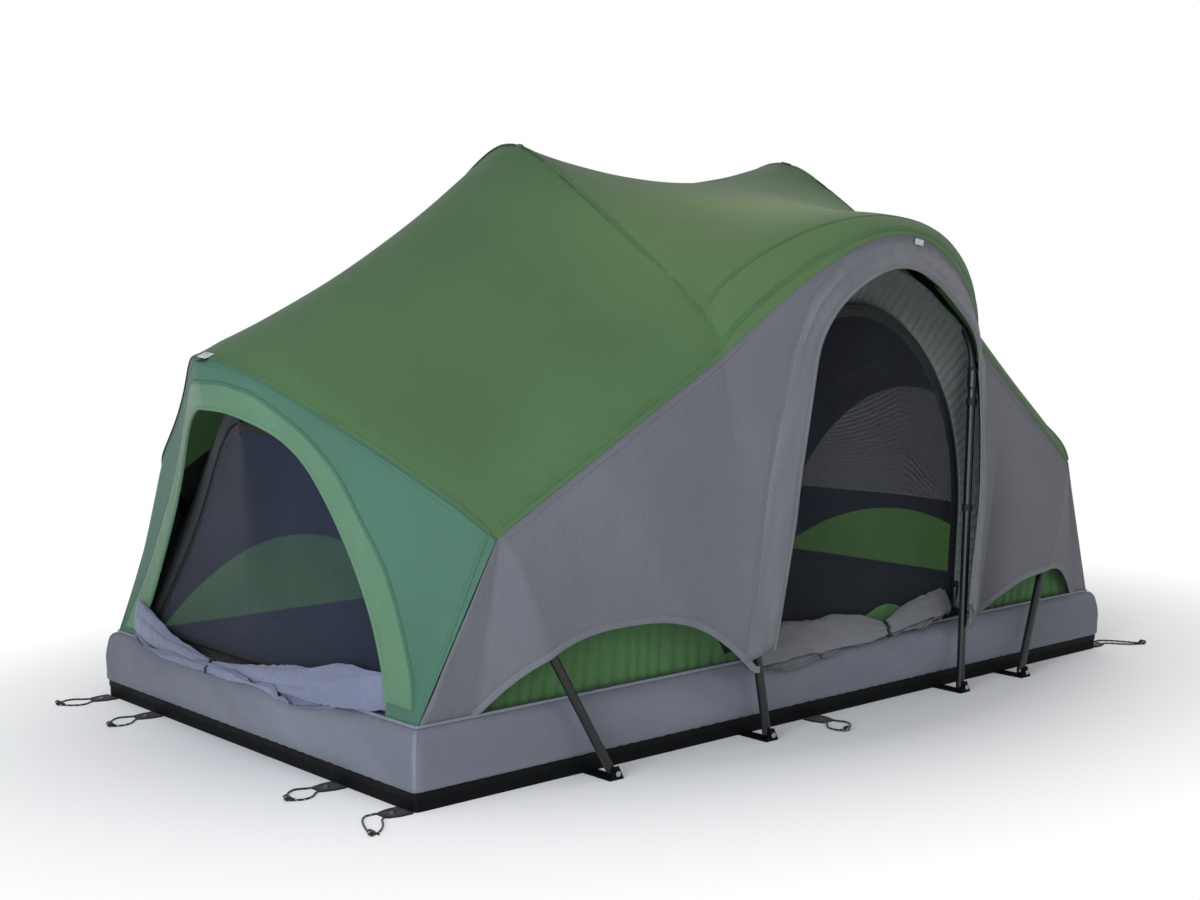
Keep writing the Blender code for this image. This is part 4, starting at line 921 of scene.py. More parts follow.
def sweep(name, rings, lengths, marks, finish, closed=False):
    """A closed skin through rings of points, with u along in metres and v from the marks."""
    shape = bmesh.new()
    layer = shape.loops.layers.uv.new("UVMap")
    grid = [[shape.verts.new(point) for point in ring] for ring in rings]
    count, size = len(rings), len(rings[0])
    for i in range(count if closed else count - 1):
        after = (i + 1) % count
        end = lengths[after] if after else lengths[-1] + (lengths[-1] - lengths[-2])
        for j in range(size):
            turn = (j + 1) % size
            face = shape.faces.new((grid[i][j], grid[i][turn], grid[after][turn], grid[after][j]))
            corners = ((lengths[i], marks[j]), (lengths[i], marks[j + 1]), (end, marks[j + 1]),
                       (end, marks[j]))
            for loop, mark in zip(face.loops, corners):
                loop[layer].uv = mark
    if not closed:
        for ring in (grid[0], grid[-1]):
            shape.faces.new(ring)
    bmesh.ops.recalc_face_normals(shape, faces=shape.faces)
    return add_piece(name, shape, finish)


def frames(points, closed=False):
    """The way along at each of the points."""
    count = len(points)
    ways = []
    for i in range(count):
        before = points[i - 1] if closed or i else points[0]
        after = points[(i + 1) % count] if closed or i < count - 1 else points[-1]
        ways.append((after - before).normalized())
    return ways


def tube(name, points, radius, finish, sides=10, closed=False):
    """A round cord, rod or piping along points."""
    ways = frames(points, closed)
    up = UP if abs(ways[0].z) < 0.9 else Vector((1.0, 0, 0))
    rings = []
    for point, way in zip(points, ways):
        side = way.cross(up).normalized()
        up = side.cross(way).normalized()
        rings.append([point + side * radius * cos(tau * k / sides) + up * radius * sin(tau * k / sides)
                      for k in range(sides)])
    return sweep(name, rings, running(points), [k / sides for k in range(sides + 1)], finish, closed)


def lay(tree, point, inside=INSIDE):
    """The nearest place on the cloth, and the way out of it."""
    place, normal = tree.find_nearest(point)[:2]
    return place, out_of(place, normal, inside)


def profiled(laid, ways, profile):
    """Rings of one profile, as (across, out) points, at (place, normal) pairs."""
    rings = []
    for (place, normal), way in zip(laid, ways):
        side = normal.cross(way).normalized()
        rings.append([place + side * a + normal * b for a, b in profile])
    return rings


def tape(name, path, finish, tree=None, width=0.011, height=0.0013, inside=INSIDE, sink=0.0004):
    """A flat seam, binding or band along a path, laid on the cloth under it."""
    laid = [lay(tree, point, inside) if tree else (point, UP) for point in path]
    places = [place for place, _ in laid]
    profile = [(-width * 0.5, -sink), (-width * 0.47, height * 0.75), (-width * 0.36, height),
               (-width * 0.12, height * 1.1)]
    profile += [(-across, rise) for across, rise in reversed(profile)]
    rings = profiled(laid, frames(places), profile)
    return sweep(name, rings, running(places), [across for across, _ in profile] + [-width * 0.5], finish)


def resample(points, step):
    """Points at even steps along a line."""
    lengths = running(points)
    count = max(int(lengths[-1] / step), 2)
    made, place = [], 0
    for i in range(count + 1):
        goal = lengths[-1] * i / count
        while place < len(points) - 2 and lengths[place + 1] < goal:
            place += 1
        share = (goal - lengths[place]) / max(lengths[place + 1] - lengths[place], 1e-9)
        made.append(points[place].lerp(points[place + 1], min(max(share, 0.0), 1.0)))
    return made


def curved(points, steps=5):
    """A smooth line through points."""
    made = []
    for i in range(len(points) - 1):
        a, b = points[max(i - 1, 0)], points[i]
        c, d = points[i + 1], points[min(i + 2, len(points) - 1)]
        for k in range(steps):
            t = k / steps
            made.append(0.5 * ((2 * b) + (c - a) * t + (2 * a - 5 * b + 4 * c - d) * t * t
                               + (3 * b - a - 3 * c + d) * t * t * t))
    return made + [points[-1]]


def round_corner_box(name, size, finish, matrix, bevel=0.0006, segments=2):
    """A box with rounded edges, at a place."""
    bpy.ops.object.select_all(action="DESELECT")
    bpy.ops.mesh.primitive_cube_add(size=1.0)
    piece = bpy.context.active_object
    piece.name = piece.data.name = name
    piece.data.transform(Matrix.Diagonal((*size, 1.0)))
    modify(piece, "BEVEL", width=bevel, segments=segments, limit_method="NONE")
    piece.data.materials.append(finish)
    bpy.ops.object.shade_smooth_by_angle(angle=SMOOTH_ANGLE)
    piece.data.transform(matrix)
    return piece


def turned(place, way, up="Y"):
    """A place with Z turned along a way."""
    return Matrix.Translation(place) @ way.to_track_quat("Z", up).to_matrix().to_4x4()


def carry(piece, matrix):
    """Put a piece's place and turn into its mesh, and leave its object at the origin."""
    piece.data.transform(matrix)
    piece.matrix_world = Matrix.Identity(4)
    return piece


def copied(piece, name):
    """A copy with its own mesh."""
    made = piece.copy()
    made.data = piece.data.copy()
    made.name = made.data.name = name
    bpy.context.scene.collection.objects.link(made)
    return made


def joined(name, *pieces):
    """Several pieces of one finish or more, as one."""
    bpy.ops.object.select_all(action="DESELECT")
    for piece in pieces:
        piece.select_set(True)
    bpy.context.view_layer.objects.active = pieces[0]
    bpy.ops.object.join()
    pieces[0].name = pieces[0].data.name = name
    return pieces[0]


def axes(place, normal, way):
    """A frame at a place: X is along the way, Z is out of the cloth."""
    across = normal.cross(way).normalized()
    way = across.cross(normal).normalized()
    return Matrix.Translation(place) @ Matrix((way, across, normal)).transposed().to_4x4()


def door_arch(grow=0.0, sill=MESH_DOOR_SILL, steps=56):
    """The mesh door's edge as (x, z) points, from the left foot over the top to the right foot."""
    centre, half, spring = MESH_DOOR_CENTRE, MESH_DOOR_HALF + grow, MESH_DOOR_SPRING
    rise = MESH_DOOR_TOP + grow - spring
    points = [(centre - half, z) for z in spread(sill, spring, 12)][:-1]
    for step in range(steps + 1):
        angle = pi - pi * step / steps
        points.append((centre + half * cos(angle), spring + rise * sin(angle)))
    return points + [(centre + half, z) for z in spread(spring, sill, 12)][1:]


def window_arch(half, top, sill, steps=48):
    """A window as (y, z) points, fuller on its near side, from the far foot to the near foot."""
    points = []
    for step in range(steps + 1):
        share = sin(-pi / 2 + pi * step / steps)
        power = 2.5 if share > 0 else 2.0
        points.append((-share * half, sill + (top - sill) * (1 - abs(share) ** power)))
    return points


def drawn(pairs, steps):
    """A smooth line in the plane Y = 0 through (across, height) pairs."""
    return curved([Vector((x, 0, z)) for x, z in pairs], steps)


def evenly(line, count):
    """A number of points at even distances along a line."""
    return resample(line, running(line)[-1] / count)[:count]


def traced(cast, pairs):
    """The points at which a line of (across, height) pairs meets the cloth."""
    hits = [cast(*pair) for pair in pairs]
    return [hit[0] for hit in hits if hit]


def caster(tree, out):
    """A search for the place on a cloth's outer face at (across, height), as it is seen from outside."""
    def find(across, height):
        behind = Vector((across * abs(out.y), across * abs(out.x), height))
        place, normal = tree.ray_cast(behind + out * (1.6 if out.y else 1.9), -out)[:2]
        return None if place is None else (place, out_of(place, normal, behind))

    return find


def laid_band(name, inner, outer, cast, finish, lift=0.0006, wall=0.0011, across=7, ripple=None):
    """A panel between two outlines, laid on the cloth under it."""
    shares, steps = spread(0, 1, across), spread(0, 1, len(inner))
    rises = [[lift + (ripple(step, share) if ripple else 0.0) for step in steps] for share in shares]
    rest = sum(map(sum, rises)) / (across * len(inner))
    rows = []
    for share, line in zip(shares, rises):
        hits = [cast(a + (c - a) * share, b + (d - b) * share) for (a, b), (c, d) in zip(inner, outer)]
        rows.append([hit and hit[0] + hit[1] * rise for hit, rise in zip(hits, line)])
    whole = [j for j in range(len(inner)) if all(row[j] is not None for row in rows)]
    rows = [[row[j] for j in whole] for row in rows]
    # Where the band dips, it is darkened as painted shade.
    shade_depths = [[min(max(0.5 - (line[j] - rest) / 0.007, 0.0), 1.0) for j in whole] for line in rises]
    return cloth(name, rows, finish, shade_depths, wall=wall, offset=1.0), rows


def edged_band(band, opening, word, lines, cast, tree, looks, widths, heights, ripple):
    """A band of cloth round an opening, with a binding on its inner edge and a seam on its outer one.

    The looks are the band's, the binding's and the seam's; gives the band with its rows, and the two trims.
    """
    made, rows = laid_band(f"{band}_{word}", *lines, cast, looks[0], across=9, ripple=ripple)
    inner, outer = (resample(traced(cast, line), 0.006) for line in lines)
    binding = tape(f"{opening}_binding_{word}", inner, looks[1], tree, width=widths[0], height=heights[0],
                   sink=0.002)
    seam = tape(f"{band}_seam_{word}", outer, looks[2], tree, width=widths[1], height=heights[1])
    return made, rows, [binding, seam]


def lathe(name, profile, finish, matrix, steps=20):
    """A solid turned round Z from (radius, height) points, at a place."""
    rings = [[Vector((radius * cos(tau * k / steps), radius * sin(tau * k / steps), height))
              for k in range(steps)]
             for radius, height in profile]
    lengths = running([Vector((radius, 0, height)) for radius, height in profile])
    return carry(sweep(name, rings, lengths, [k / steps * 0.02 for k in range(steps + 1)], finish), matrix)


def base_ring(inset, height):
    """A closed ring of points round the base, moved in by an inset."""
    corner = max(BASE_CORNER - inset, 0.006)
    reach_x, reach_y = HALF_LENGTH - inset - corner, HALF_WIDTH - inset - corner
    points = []
    for quarter, count in enumerate((150, 86, 150, 86)):
        centres = [(reach_x * (1 if turn in (0, 3) else -1), reach_y * (1 if turn in (0, 1) else -1))
                   for turn in (quarter, (quarter + 1) % 4)]
        angles = [quarter * pi / 2 + step / RING_STEPS * pi / 2 for step in range(RING_STEPS + 1)]
        corners = [(centres[0], angle) for angle in angles] + [(centres[1], (quarter + 1) * pi / 2)]
        for (x, y), angle in corners:
            points.append(Vector((x + corner * cos(angle), y + corner * sin(angle), height)))
        end = points.pop()
        start = points[-1]
        points += [start.lerp(end, k / count) for k in range(1, count)]
    return points + points[:1]


# The stage


def make_stage():
    """Floor, lamps, world and camera."""
    scene = bpy.context.scene
    scene.view_settings.view_transform = "Standard"
    bpy.ops.mesh.primitive_plane_add(size=80.0)
    floor = bpy.context.active_object
    floor.name = "floor"
    floor.data.materials.append(floor_finish())
    world = bpy.data.worlds.new("studio")
    world.use_nodes = True
    scene.world = world
    tree = world.node_tree
    glow, seen = tree.nodes["Background"], tree.nodes.new("ShaderNodeBackground")
    for shader, colour, strength in ((glow, (0.96, 0.98, 1.0, 1.0), 0.44), (seen, (1.0, 1.0, 1.0, 1.0), 1.0)):
        shader.inputs["Color"].default_value = colour
        shader.inputs["Strength"].default_value = strength
    rays = Value(tree, tree.nodes.new("ShaderNodeLightPath").outputs["Is Camera Ray"])
    mix_shaders(tree, rays, glow, seen, "World Output")
    for name, place, size, power, colour in LAMPS:
        lamp = bpy.data.lights.new(name, "AREA")
        lamp.shape, lamp.size, lamp.energy, lamp.color = "DISK", size, power, colour
        made = linked(name, lamp)
        made.location = place
        made.rotation_mode = "QUATERNION"
        made.rotation_quaternion = (LAMP_AIM - Vector(place)).to_track_quat("-Z", "Y")
    eye = bpy.data.cameras.new("camera")
    eye.sensor_width, eye.lens = 36.0, sizes().lens
    camera = linked("camera", eye)
    yaw, pitch, roll = (radians(angle) for angle in CAMERA_TURN)
    ahead = Vector((sin(yaw) * cos(pitch), cos(yaw) * cos(pitch), sin(pitch)))
    right = ahead.cross(UP).normalized()
    turn = Matrix.Rotation(roll, 3, ahead)
    matrix = Matrix((turn @ right, turn @ right.cross(ahead), -ahead)).transposed().to_4x4()
    camera.matrix_world = Matrix.Translation(CAMERA_PLACE) @ matrix
    scene.camera = camera


# Tie-downs


def tie_places():
    """Each tie-down's name, the middle of its hinge edge and the way it points."""
    edge_x, edge_y = HALF_LENGTH - TUB_INSET, HALF_WIDTH - TUB_INSET
    places = []
    for side, sx in ENDS:
        for word, sy in SIDES:
            places.append((f"{side}_{word}_corner", (sx * edge_x, sy * (HALF_WIDTH - 0.036)), (sx, 0.0)))
            places.append((f"{side}_{word}_end", (sx * edge_x, sy * (HALF_WIDTH - 0.25)), (sx, 0.0)))
    places.append(("middle_near", (-0.02, -edge_y), (0.0, -1.0)))
    places.append(("middle_far", (-0.02, edge_y), (0.0, 1.0)))
    return places


def loop_points(lean):
    """Route of the shock cord in a tie-down's own frame, x outwards, lying on the ground."""
    start_y = TIE_TIP_WIDTH / 2 - CORD_RADIUS - 0.0005
    half, reach = LOOP_HALF, LOOP_REACH
    route = [(0.0, start_y), (0.004, start_y), (0.013, start_y + 0.005), (0.026, half - 0.002)]
    route += [(0.041, half - 0.001), (0.055, half - 0.008), (reach - 0.006, half - 0.021), (reach, 0.0)]
    route += [(x, -y) for x, y in reversed(route[:-1])]
    points = []
    for x, y in route:
        aside = lean * (max(x - 0.006, 0.0) / reach) ** 1.3
        points.append(Vector((TIE_LENGTH + SEAM_GAP + x, y + aside, CORD_RADIUS + SEAM_GAP)))
    return points


def make_tie_plate():
    """A plate of doubled webbing: rounded trapezoid, sewn edge and rivet."""
    black = colours().black
    webbing = webbing_finish("tie_webbing", dimmed(black, 0.75))
    root, tip = 0.0018, TIE_LENGTH
    half, tip_half = TIE_WIDTH / 2, TIE_TIP_WIDTH / 2
    outline = [(root, -half), (tip * 0.5, -half), (tip - 0.004, -tip_half - 0.002), (tip, -tip_half + 0.003)]
    outline += [(x, -y) for x, y in reversed(outline)]
    shape = prism([(x, y, 0.0) for x, y in outline], (0.0, 0.0, TIE_THICKNESS))
    plate = add_piece("tie_plate", shape, webbing)
    modify(plate, "BEVEL", width=0.0007, segments=2, limit_method="ANGLE")
    edge = [Vector((x * 0.9 + 0.003, y * 0.86, TIE_THICKNESS)) for x, y in outline]
    sewn = tape("tie_sewing", resample(edge + edge[:1], 0.003), tape_finish("tie_tape", dimmed(black, 0.9)),
                width=0.0042, height=0.0006, sink=0.0003)
    rivet = lathe("rivet", [(0.0003, 0.0), (0.0058, 0.0), (0.006, 0.0008), (0.0052, 0.0016), (0.0036, 0.0019),
                            (0.003, 0.0012), (0.0012, 0.001), (0.0003, 0.001)],
                  metal_finish("plated", linear("b8babb")),
                  Matrix.Translation((tip * 0.58, 0.0, TIE_THICKNESS)), 24)
    return joined("tie_plate", plate, sewn, rivet)


def make_knot(points):
    """Three wraps of cord round the loop's tip, with two short tails."""
    middle = len(points) // 2
    centre, way = points[middle], (points[middle + 1] - points[middle - 1]).normalized()
    out = way.cross(UP).normalized()
    up = UP
    core = centre + up * 0.0037
    route = [core - way * 0.0085 + out * 0.011 - up * 0.003, core - way * 0.0065 + out * 0.005]
    for step in range(43):
        angle = tau * 3.4 * step / 42
        route.append(core + way * (0.0056 * (step / 21 - 1)) + (out * cos(angle) + up * sin(angle)) * 0.004)
    route += [core + way * 0.007 - out * 0.003, core + way * 0.01 + out * 0.008 - up * 0.002]
    return curved(route, 2)


def make_tie_downs():
    """Ten plates with their loops of shock cord."""
    pattern = make_tie_plate()
    cord_look = cord_finish("shock_cord", dimmed(colours().black, 0.8))
    for name, place, heading in tie_places():
        there = Matrix.Translation((place[0], place[1], 0.0)) @ Matrix.Rotation(atan2(heading[1], heading[0]),
                                                                                4, "Z")
        plate = carry(copied(pattern, f"tie_webbing_{name}"), there)
        settle(plate, f"tie_plate_{name}", body=f"tie_{name}", slot="plate")
        points = [there @ point for point in curved(loop_points(TIE_LEANS.get(name, 0.0)), 5)]
        loop = tube(f"shock_cord_{name}", points, CORD_RADIUS, cord_look, sides=10)
        knot = tube(f"knot_{name}", make_knot(points), 0.0019, cord_look, sides=8)
        settle(loop, f"tie_loop_{name}", body=f"tie_{name}", slot="cord")
        settle(knot, body=f"tie_{name}", slot="cord")
        running(points)[-1]
    bpy.data.objects.remove(pattern, do_unlink=True)


# Base


def make_base():
    """The grey band with its puckers, piping and corner seams, and the tub's binding."""
    look = colours()
    low, high = TUB_HEIGHT + SEAM_GAP, HEM_HEIGHT
    profile = [(0.0085, low), (0.0045, low + 0.003), (0.0015, low + 0.009), (-0.001, low + 0.02),
               (-0.003, low + 0.034), (-0.004, low + 0.048), (-0.003, low + 0.062), (-0.001, high - 0.036),
               (0.002, high - 0.026), (0.006, high - 0.017), (0.011, high - 0.01), (0.017, high - 0.0045),
               (HEM_INSET - 0.006, high - 0.001), (HEM_INSET + 0.004, high), (FLANGE_INSET - 0.012, high),
               (FLANGE_INSET, high)]
    rows = [base_ring(inset, height) for inset, height in profile]
    last = len(rows[0]) - 1
    around = running(rows[7])

    def height(i, j, point):
        level = profile[i][1]
        if i > 12:
            return 0.0
        place = around[j % last]
        seam = exp(-(high - level) / 0.016) + 0.7 * exp(-(level - low) / 0.012)
        pucker = sin(place * tau / 0.0235 + 2.2 * noise.noise(Vector((place * 9, 0, 0)))) * 0.0011 * seam
        body = smooth((level - low) / 0.03) * smooth((high - level) / 0.03)
        fold = wave(Vector((place, level, 0)), (3.2, 9.0, 1.0), 4.0) * 0.0048 * body
        diagonal = wave(Vector((place + level * 1.6, level * 0.4, 0)), (13.0, 9.0, 1.0), 9.0) * 0.0026 * body
        legs = smooth((abs(point.x) - 0.66) / 0.14) * smooth((abs(point.y) - 0.5) / 0.06)
        return (pucker + fold + diagonal) * (1 - 0.8 * legs) - 0.0055 * legs * body - 0.0004

    shaped, shade_depths = crumple(rows, height, BASE_INSIDE)
    for row in shaped:
        row[-1] = row[0]
    band = cloth("base_cover", shaped, cloth_finish("base_cloth", look.base, worn=0.06), shade_depths, wall=0.0016,
                 inside=BASE_INSIDE)
    settle(band, "base_band", slot="band")
    radius = sizes().piping
    seams = [tube("hem_piping", base_ring(HEM_INSET - 0.0015, high + radius * 0.75)[:-1], radius,
                  cloth_finish("piping_cloth", dimmed(look.base, 1.12), worn=0.05), closed=True)]
    seam_look = tape_finish("base_seam", dimmed(look.base, 0.92))
    for side, sx in ENDS:
        for word, sy in SIDES:
            path = []
            for inset, level in profile[1:13]:
                inset += max(BASE_CORNER - inset, 0.006) * (1 - 1 / sqrt(2))
                path.append(Vector((sx * (HALF_LENGTH - inset), sy * (HALF_WIDTH - inset), level)))
            seams.append(tape(f"corner_seam_{side}_{word}", resample(path, 0.004), seam_look,
                              TREES["base_cover"],
                              width=0.009, height=0.0011, inside=BASE_INSIDE))
    for seam in seams:
        settle(seam, slot="band")
    declare(band, flat_size(shaped), "stretched", ["mattress", "floor_tub"], with_pieces=seams)
    paint(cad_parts["floor_tub"], moulded_finish("tub_cloth", dimmed(look.black, 0.38), 0.65, shine=0.1))
    ring = base_ring(TUB_INSET - 0.0005, TUB_HEIGHT - 0.0035)[:-1]
    rings = []
    for point, way in zip(ring, frames(ring, True)):
        out = way.cross(UP).normalized()
        rings.append([point + out * a + UP * b for a, b in TUB_BINDING])
    marks = [-0.0085, -0.0075, 0.0, 0.0065, 0.008, -0.0085]
    binding = sweep("tub_binding", rings, running(ring), marks,
                    moulded_finish("tub_tape", dimmed(look.black, 0.3), 0.6, shine=0.15), closed=True)
    settle(binding, slot="tub")


def make_mattress():
    """The foam mattress in its cover: crowned, with rounded edges."""
    look = colours()
    low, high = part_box("mattress")
    bpy.ops.object.select_all(action="DESELECT")
    bpy.ops.mesh.primitive_cube_add(size=1.0)
    pad = bpy.context.active_object
    pad.name = pad.data.name = "mattress_cover"
    shrink = 0.01
    size = high - low
    pad.data.transform(Matrix.Translation((low + high) / 2 - Vector((0, 0, 0.002)))
                       @ Matrix.Diagonal((size.x - shrink * 2, size.y - shrink * 2, size.z - 0.01, 1.0)))
    modify(pad, "BEVEL", width=0.02, segments=4, limit_method="NONE")
    only(pad)
    pad.data.remesh_voxel_size = 0.02
    bpy.ops.object.voxel_remesh()
    rest = [vert.co.copy() for vert in pad.data.vertices]
    puff = pad.modifiers.new("puff", "CLOTH")
    puff.settings.use_pressure = True
    puff.settings.uniform_pressure_force = 3.0
    puff.settings.effector_weights.gravity = 0.0
    puff.settings.quality = 4
    puff.point_cache.frame_start, puff.point_cache.frame_end = 1, 14
    for step in range(1, 15):
        bpy.context.scene.frame_set(step)
    puffed = pad.evaluated_get(bpy.context.evaluated_depsgraph_get())
    places = [vert.co.copy() for vert in puffed.data.vertices]
    pad.modifiers.remove(puff)
    bpy.context.scene.frame_set(1)
    for vert, before, after in zip(pad.data.vertices, rest, places):
        step = after - before
        cap = 0.007
        vert.co = before + (step.normalized() * cap if step.length > cap else step)
    for vert in pad.data.vertices:
        edge = min(HALF_LENGTH - abs(vert.co.x), HALF_WIDTH - abs(vert.co.y))
        if vert.co.z > 0.08:
            vert.co.z += wave(vert.co, (3.0, 3.0, 1.0)) * 0.0022 * smooth(edge / 0.1)
        vert.co.x = min(max(vert.co.x, low.x - 0.002), high.x + 0.002)
        vert.co.y = min(max(vert.co.y, low.y - 0.002), high.y + 0.002)
        vert.co.z = min(max(vert.co.z, low.z), high.z + 0.004)
    modify(pad, "SUBSURF", levels=1, render_levels=1)
    pad.data.materials.append(cloth_finish("mattress_cloth", dimmed(look.black, 1.0), worn=0.1, rough=0.8))
    bpy.ops.object.shade_smooth()
    settle(pad, "mattress", slot="foam")


# Hoops


def make_hoops():
    """Satin tubes with plated pin heads, and a rubber sleeve at each ferrule."""
    look = colours()
    coat = tube_finish("hoop_coat", dimmed(look.black, 0.6))
    plated = metal_finish("plated", linear("b8babb"))
    rubber = moulded_finish("sleeve_rubber", dimmed(look.black, 0.5), 0.6)
    for hoop in HOOPS:
        for word in ("leg_near", "leg_far", "bow"):
            paint(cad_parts[f"{hoop.name}_{word}"], coat)
        for word, sign in SIDES:
            leg = hoop.shoulder_point(sign) - hoop.foot(sign)
            head = lathe(f"pin_head_{hoop.name}_{word}", PIN_HEAD, plated,
                         turned(hoop.foot(sign), Vector((0, sign, 0)), "X"))
            ferrule = hoop.foot(sign) + leg.normalized() * (leg.length - FERRULE_DOWN)
            lip = lathe(f"ferrule_lip_{hoop.name}_{word}", FERRULE_LIP, rubber, turned(ferrule, leg))
            for piece in (head, lip):
                settle(piece, body=f"{hoop.name}_hoop", slot="tube")


# Fly


def roof_rows():
    """Fine rows of points across the roof, with their stations and shares."""
    stations = spread(0, 1, 8)[:-1] + spread(1, 2, 31)[:-1] + spread(2, 3, 45)[:-1] + spread(3, 4, 27)[:-1]
    stations += spread(4, 5, 8)
    shares = [sin(pi / 2 * k) for k in spread(-1, 1, 85)]
    return stations, shares, [[roof_point(station, share) for share in shares] for station in stations]


def make_roof():
    """One sheet from brim to brim, with flat seams over the main hoops and a hem all round."""
    look = colours()
    stations, shares, rows = roof_rows()
    crease = sizes().crease

    def height(i, j, point):
        station, share = stations[i], shares[j]
        over = min(abs(station - k) * (0.08 if k in (1, 4) and (station < 1 or station > 4) else 0.6)
                   for k in (1, 2, 3, 4))
        edge = (1 - abs(share)) * 0.64
        brim = min(station, 5 - station) * 0.08
        free = smooth(over / 0.1) * smooth(edge / 0.07) * smooth(brim / 0.03)
        soft = wave(point, (2.2, 2.6, 2.6), 1.0) * crease
        pull = wave(Vector((point.x * 0.7, point.y + point.z, 0)), (9.0, 1.6, 1.0), 6.0) * crease * 0.55
        seam = exp(-over / 0.012) * sin(point.y * tau / 0.021 + wave(point, (9, 9, 9), 3) * 3) * 0.0005
        hem = exp(-edge / 0.01) * sin(point.x * tau / 0.024 + wave(point, (9, 9, 9), 5) * 3) * 0.0007
        return free * (soft + pull) + max(seam, 0.0) + max(hem, 0.0)

    rows, shade_depths = crumple(rows, height)
    # The lit green is a painted highlight on the middle bay, and the roof's top is darkened as painted shade.
    finish = cloth_finish("roof_cloth", look.roof, second=look.roof_light, worn=0.05, creases=0.42)
    # Painted light: the underside glows as if daylight came through the roof.
    under = cloth_finish("roof_underside", look.roof, rough=0.8, glow=0.22)
    roof = cloth("roof_sheet", rows, finish, shade_depths, back=under)
    tree = TREES["roof_sheet"]
    seam_look = tape_finish("roof_seam", dimmed(look.roof, 0.9))
    seams = []
    for station, word in ((2, "left"), (3, "right")):
        path = [roof_point(station, share) for share in spread(-0.985, 0.985, 150)]
        seams.append(tape(f"roof_seam_{word}", path, seam_look, tree, width=sizes().seam))
    for station, word in ((0.045, "left"), (4.955, "right")):
        path = [roof_point(station, share) for share in spread(-0.99, 0.99, 150)]
        seams.append(tape(f"brim_hem_{word}", path, seam_look, tree, width=0.01, height=0.001))
    for word, sign in SIDES:
        path = [roof_point(station, sign * 0.988) for station in spread(1.04, 3.96, 240)]
        seams.append(tape(f"eave_hem_{word}", path, seam_look, tree, width=0.012, height=0.0012))
        path = [roof_point(station, sign * 0.93) for station in spread(2.02, 2.98, 120)]
        seams.append(tape(f"brow_sleeve_{word}", path, seam_look, tree, width=0.008, height=0.001))
    settle(roof, "fly_roof", folds=True, slot="roof")
    fold_down(seams, "roof")
    declare(roof, flat_size(rows), "stretched", [f"{hoop.name}_bow" for hoop in HOOPS], with_pieces=seams)
    rod_look = tube_finish("hoop_coat", look.black)
    for word, sign in SIDES:
        points = []
        stations_of = (2.0, *BROW_STATIONS, 3.0)
        for index in range(len(BROW_STATIONS)):
            before, middle, after = stations_of[index:index + 3]
            edge = roof_point(middle, sign * 1.0)
            away = (roof_point(middle, sign * 0.92) - edge).normalized()
            square = away.cross(roof_point(after, sign * 1.0) - roof_point(before, sign * 1.0)).normalized()
            square = -square if square.z > 0 else square
            points.append(edge + away * 0.012 + square * 0.0085)
        rod = tube(f"brow_rod_sleeve_{word}", curved(points, 6), 0.0042, rod_look, sides=12)
        settle(rod, f"brow_rod_{word}", folds=True, slot="tube")


def fine_columns(sign):
    """Fine rows of a side, with the shares of each column."""
    shares = spread(0, 1, 30)
    control = side_columns()
    columns = []
    for first, second in zip(control, control[1:]):
        for k in range(4):
            columns.append(side_column(sign, *(a + (b - a) * k / 4 for a, b in zip(first, second)), shares))
    columns.append(side_column(sign, *control[-1], shares))
    return [list(row) for row in zip(*columns)], shares


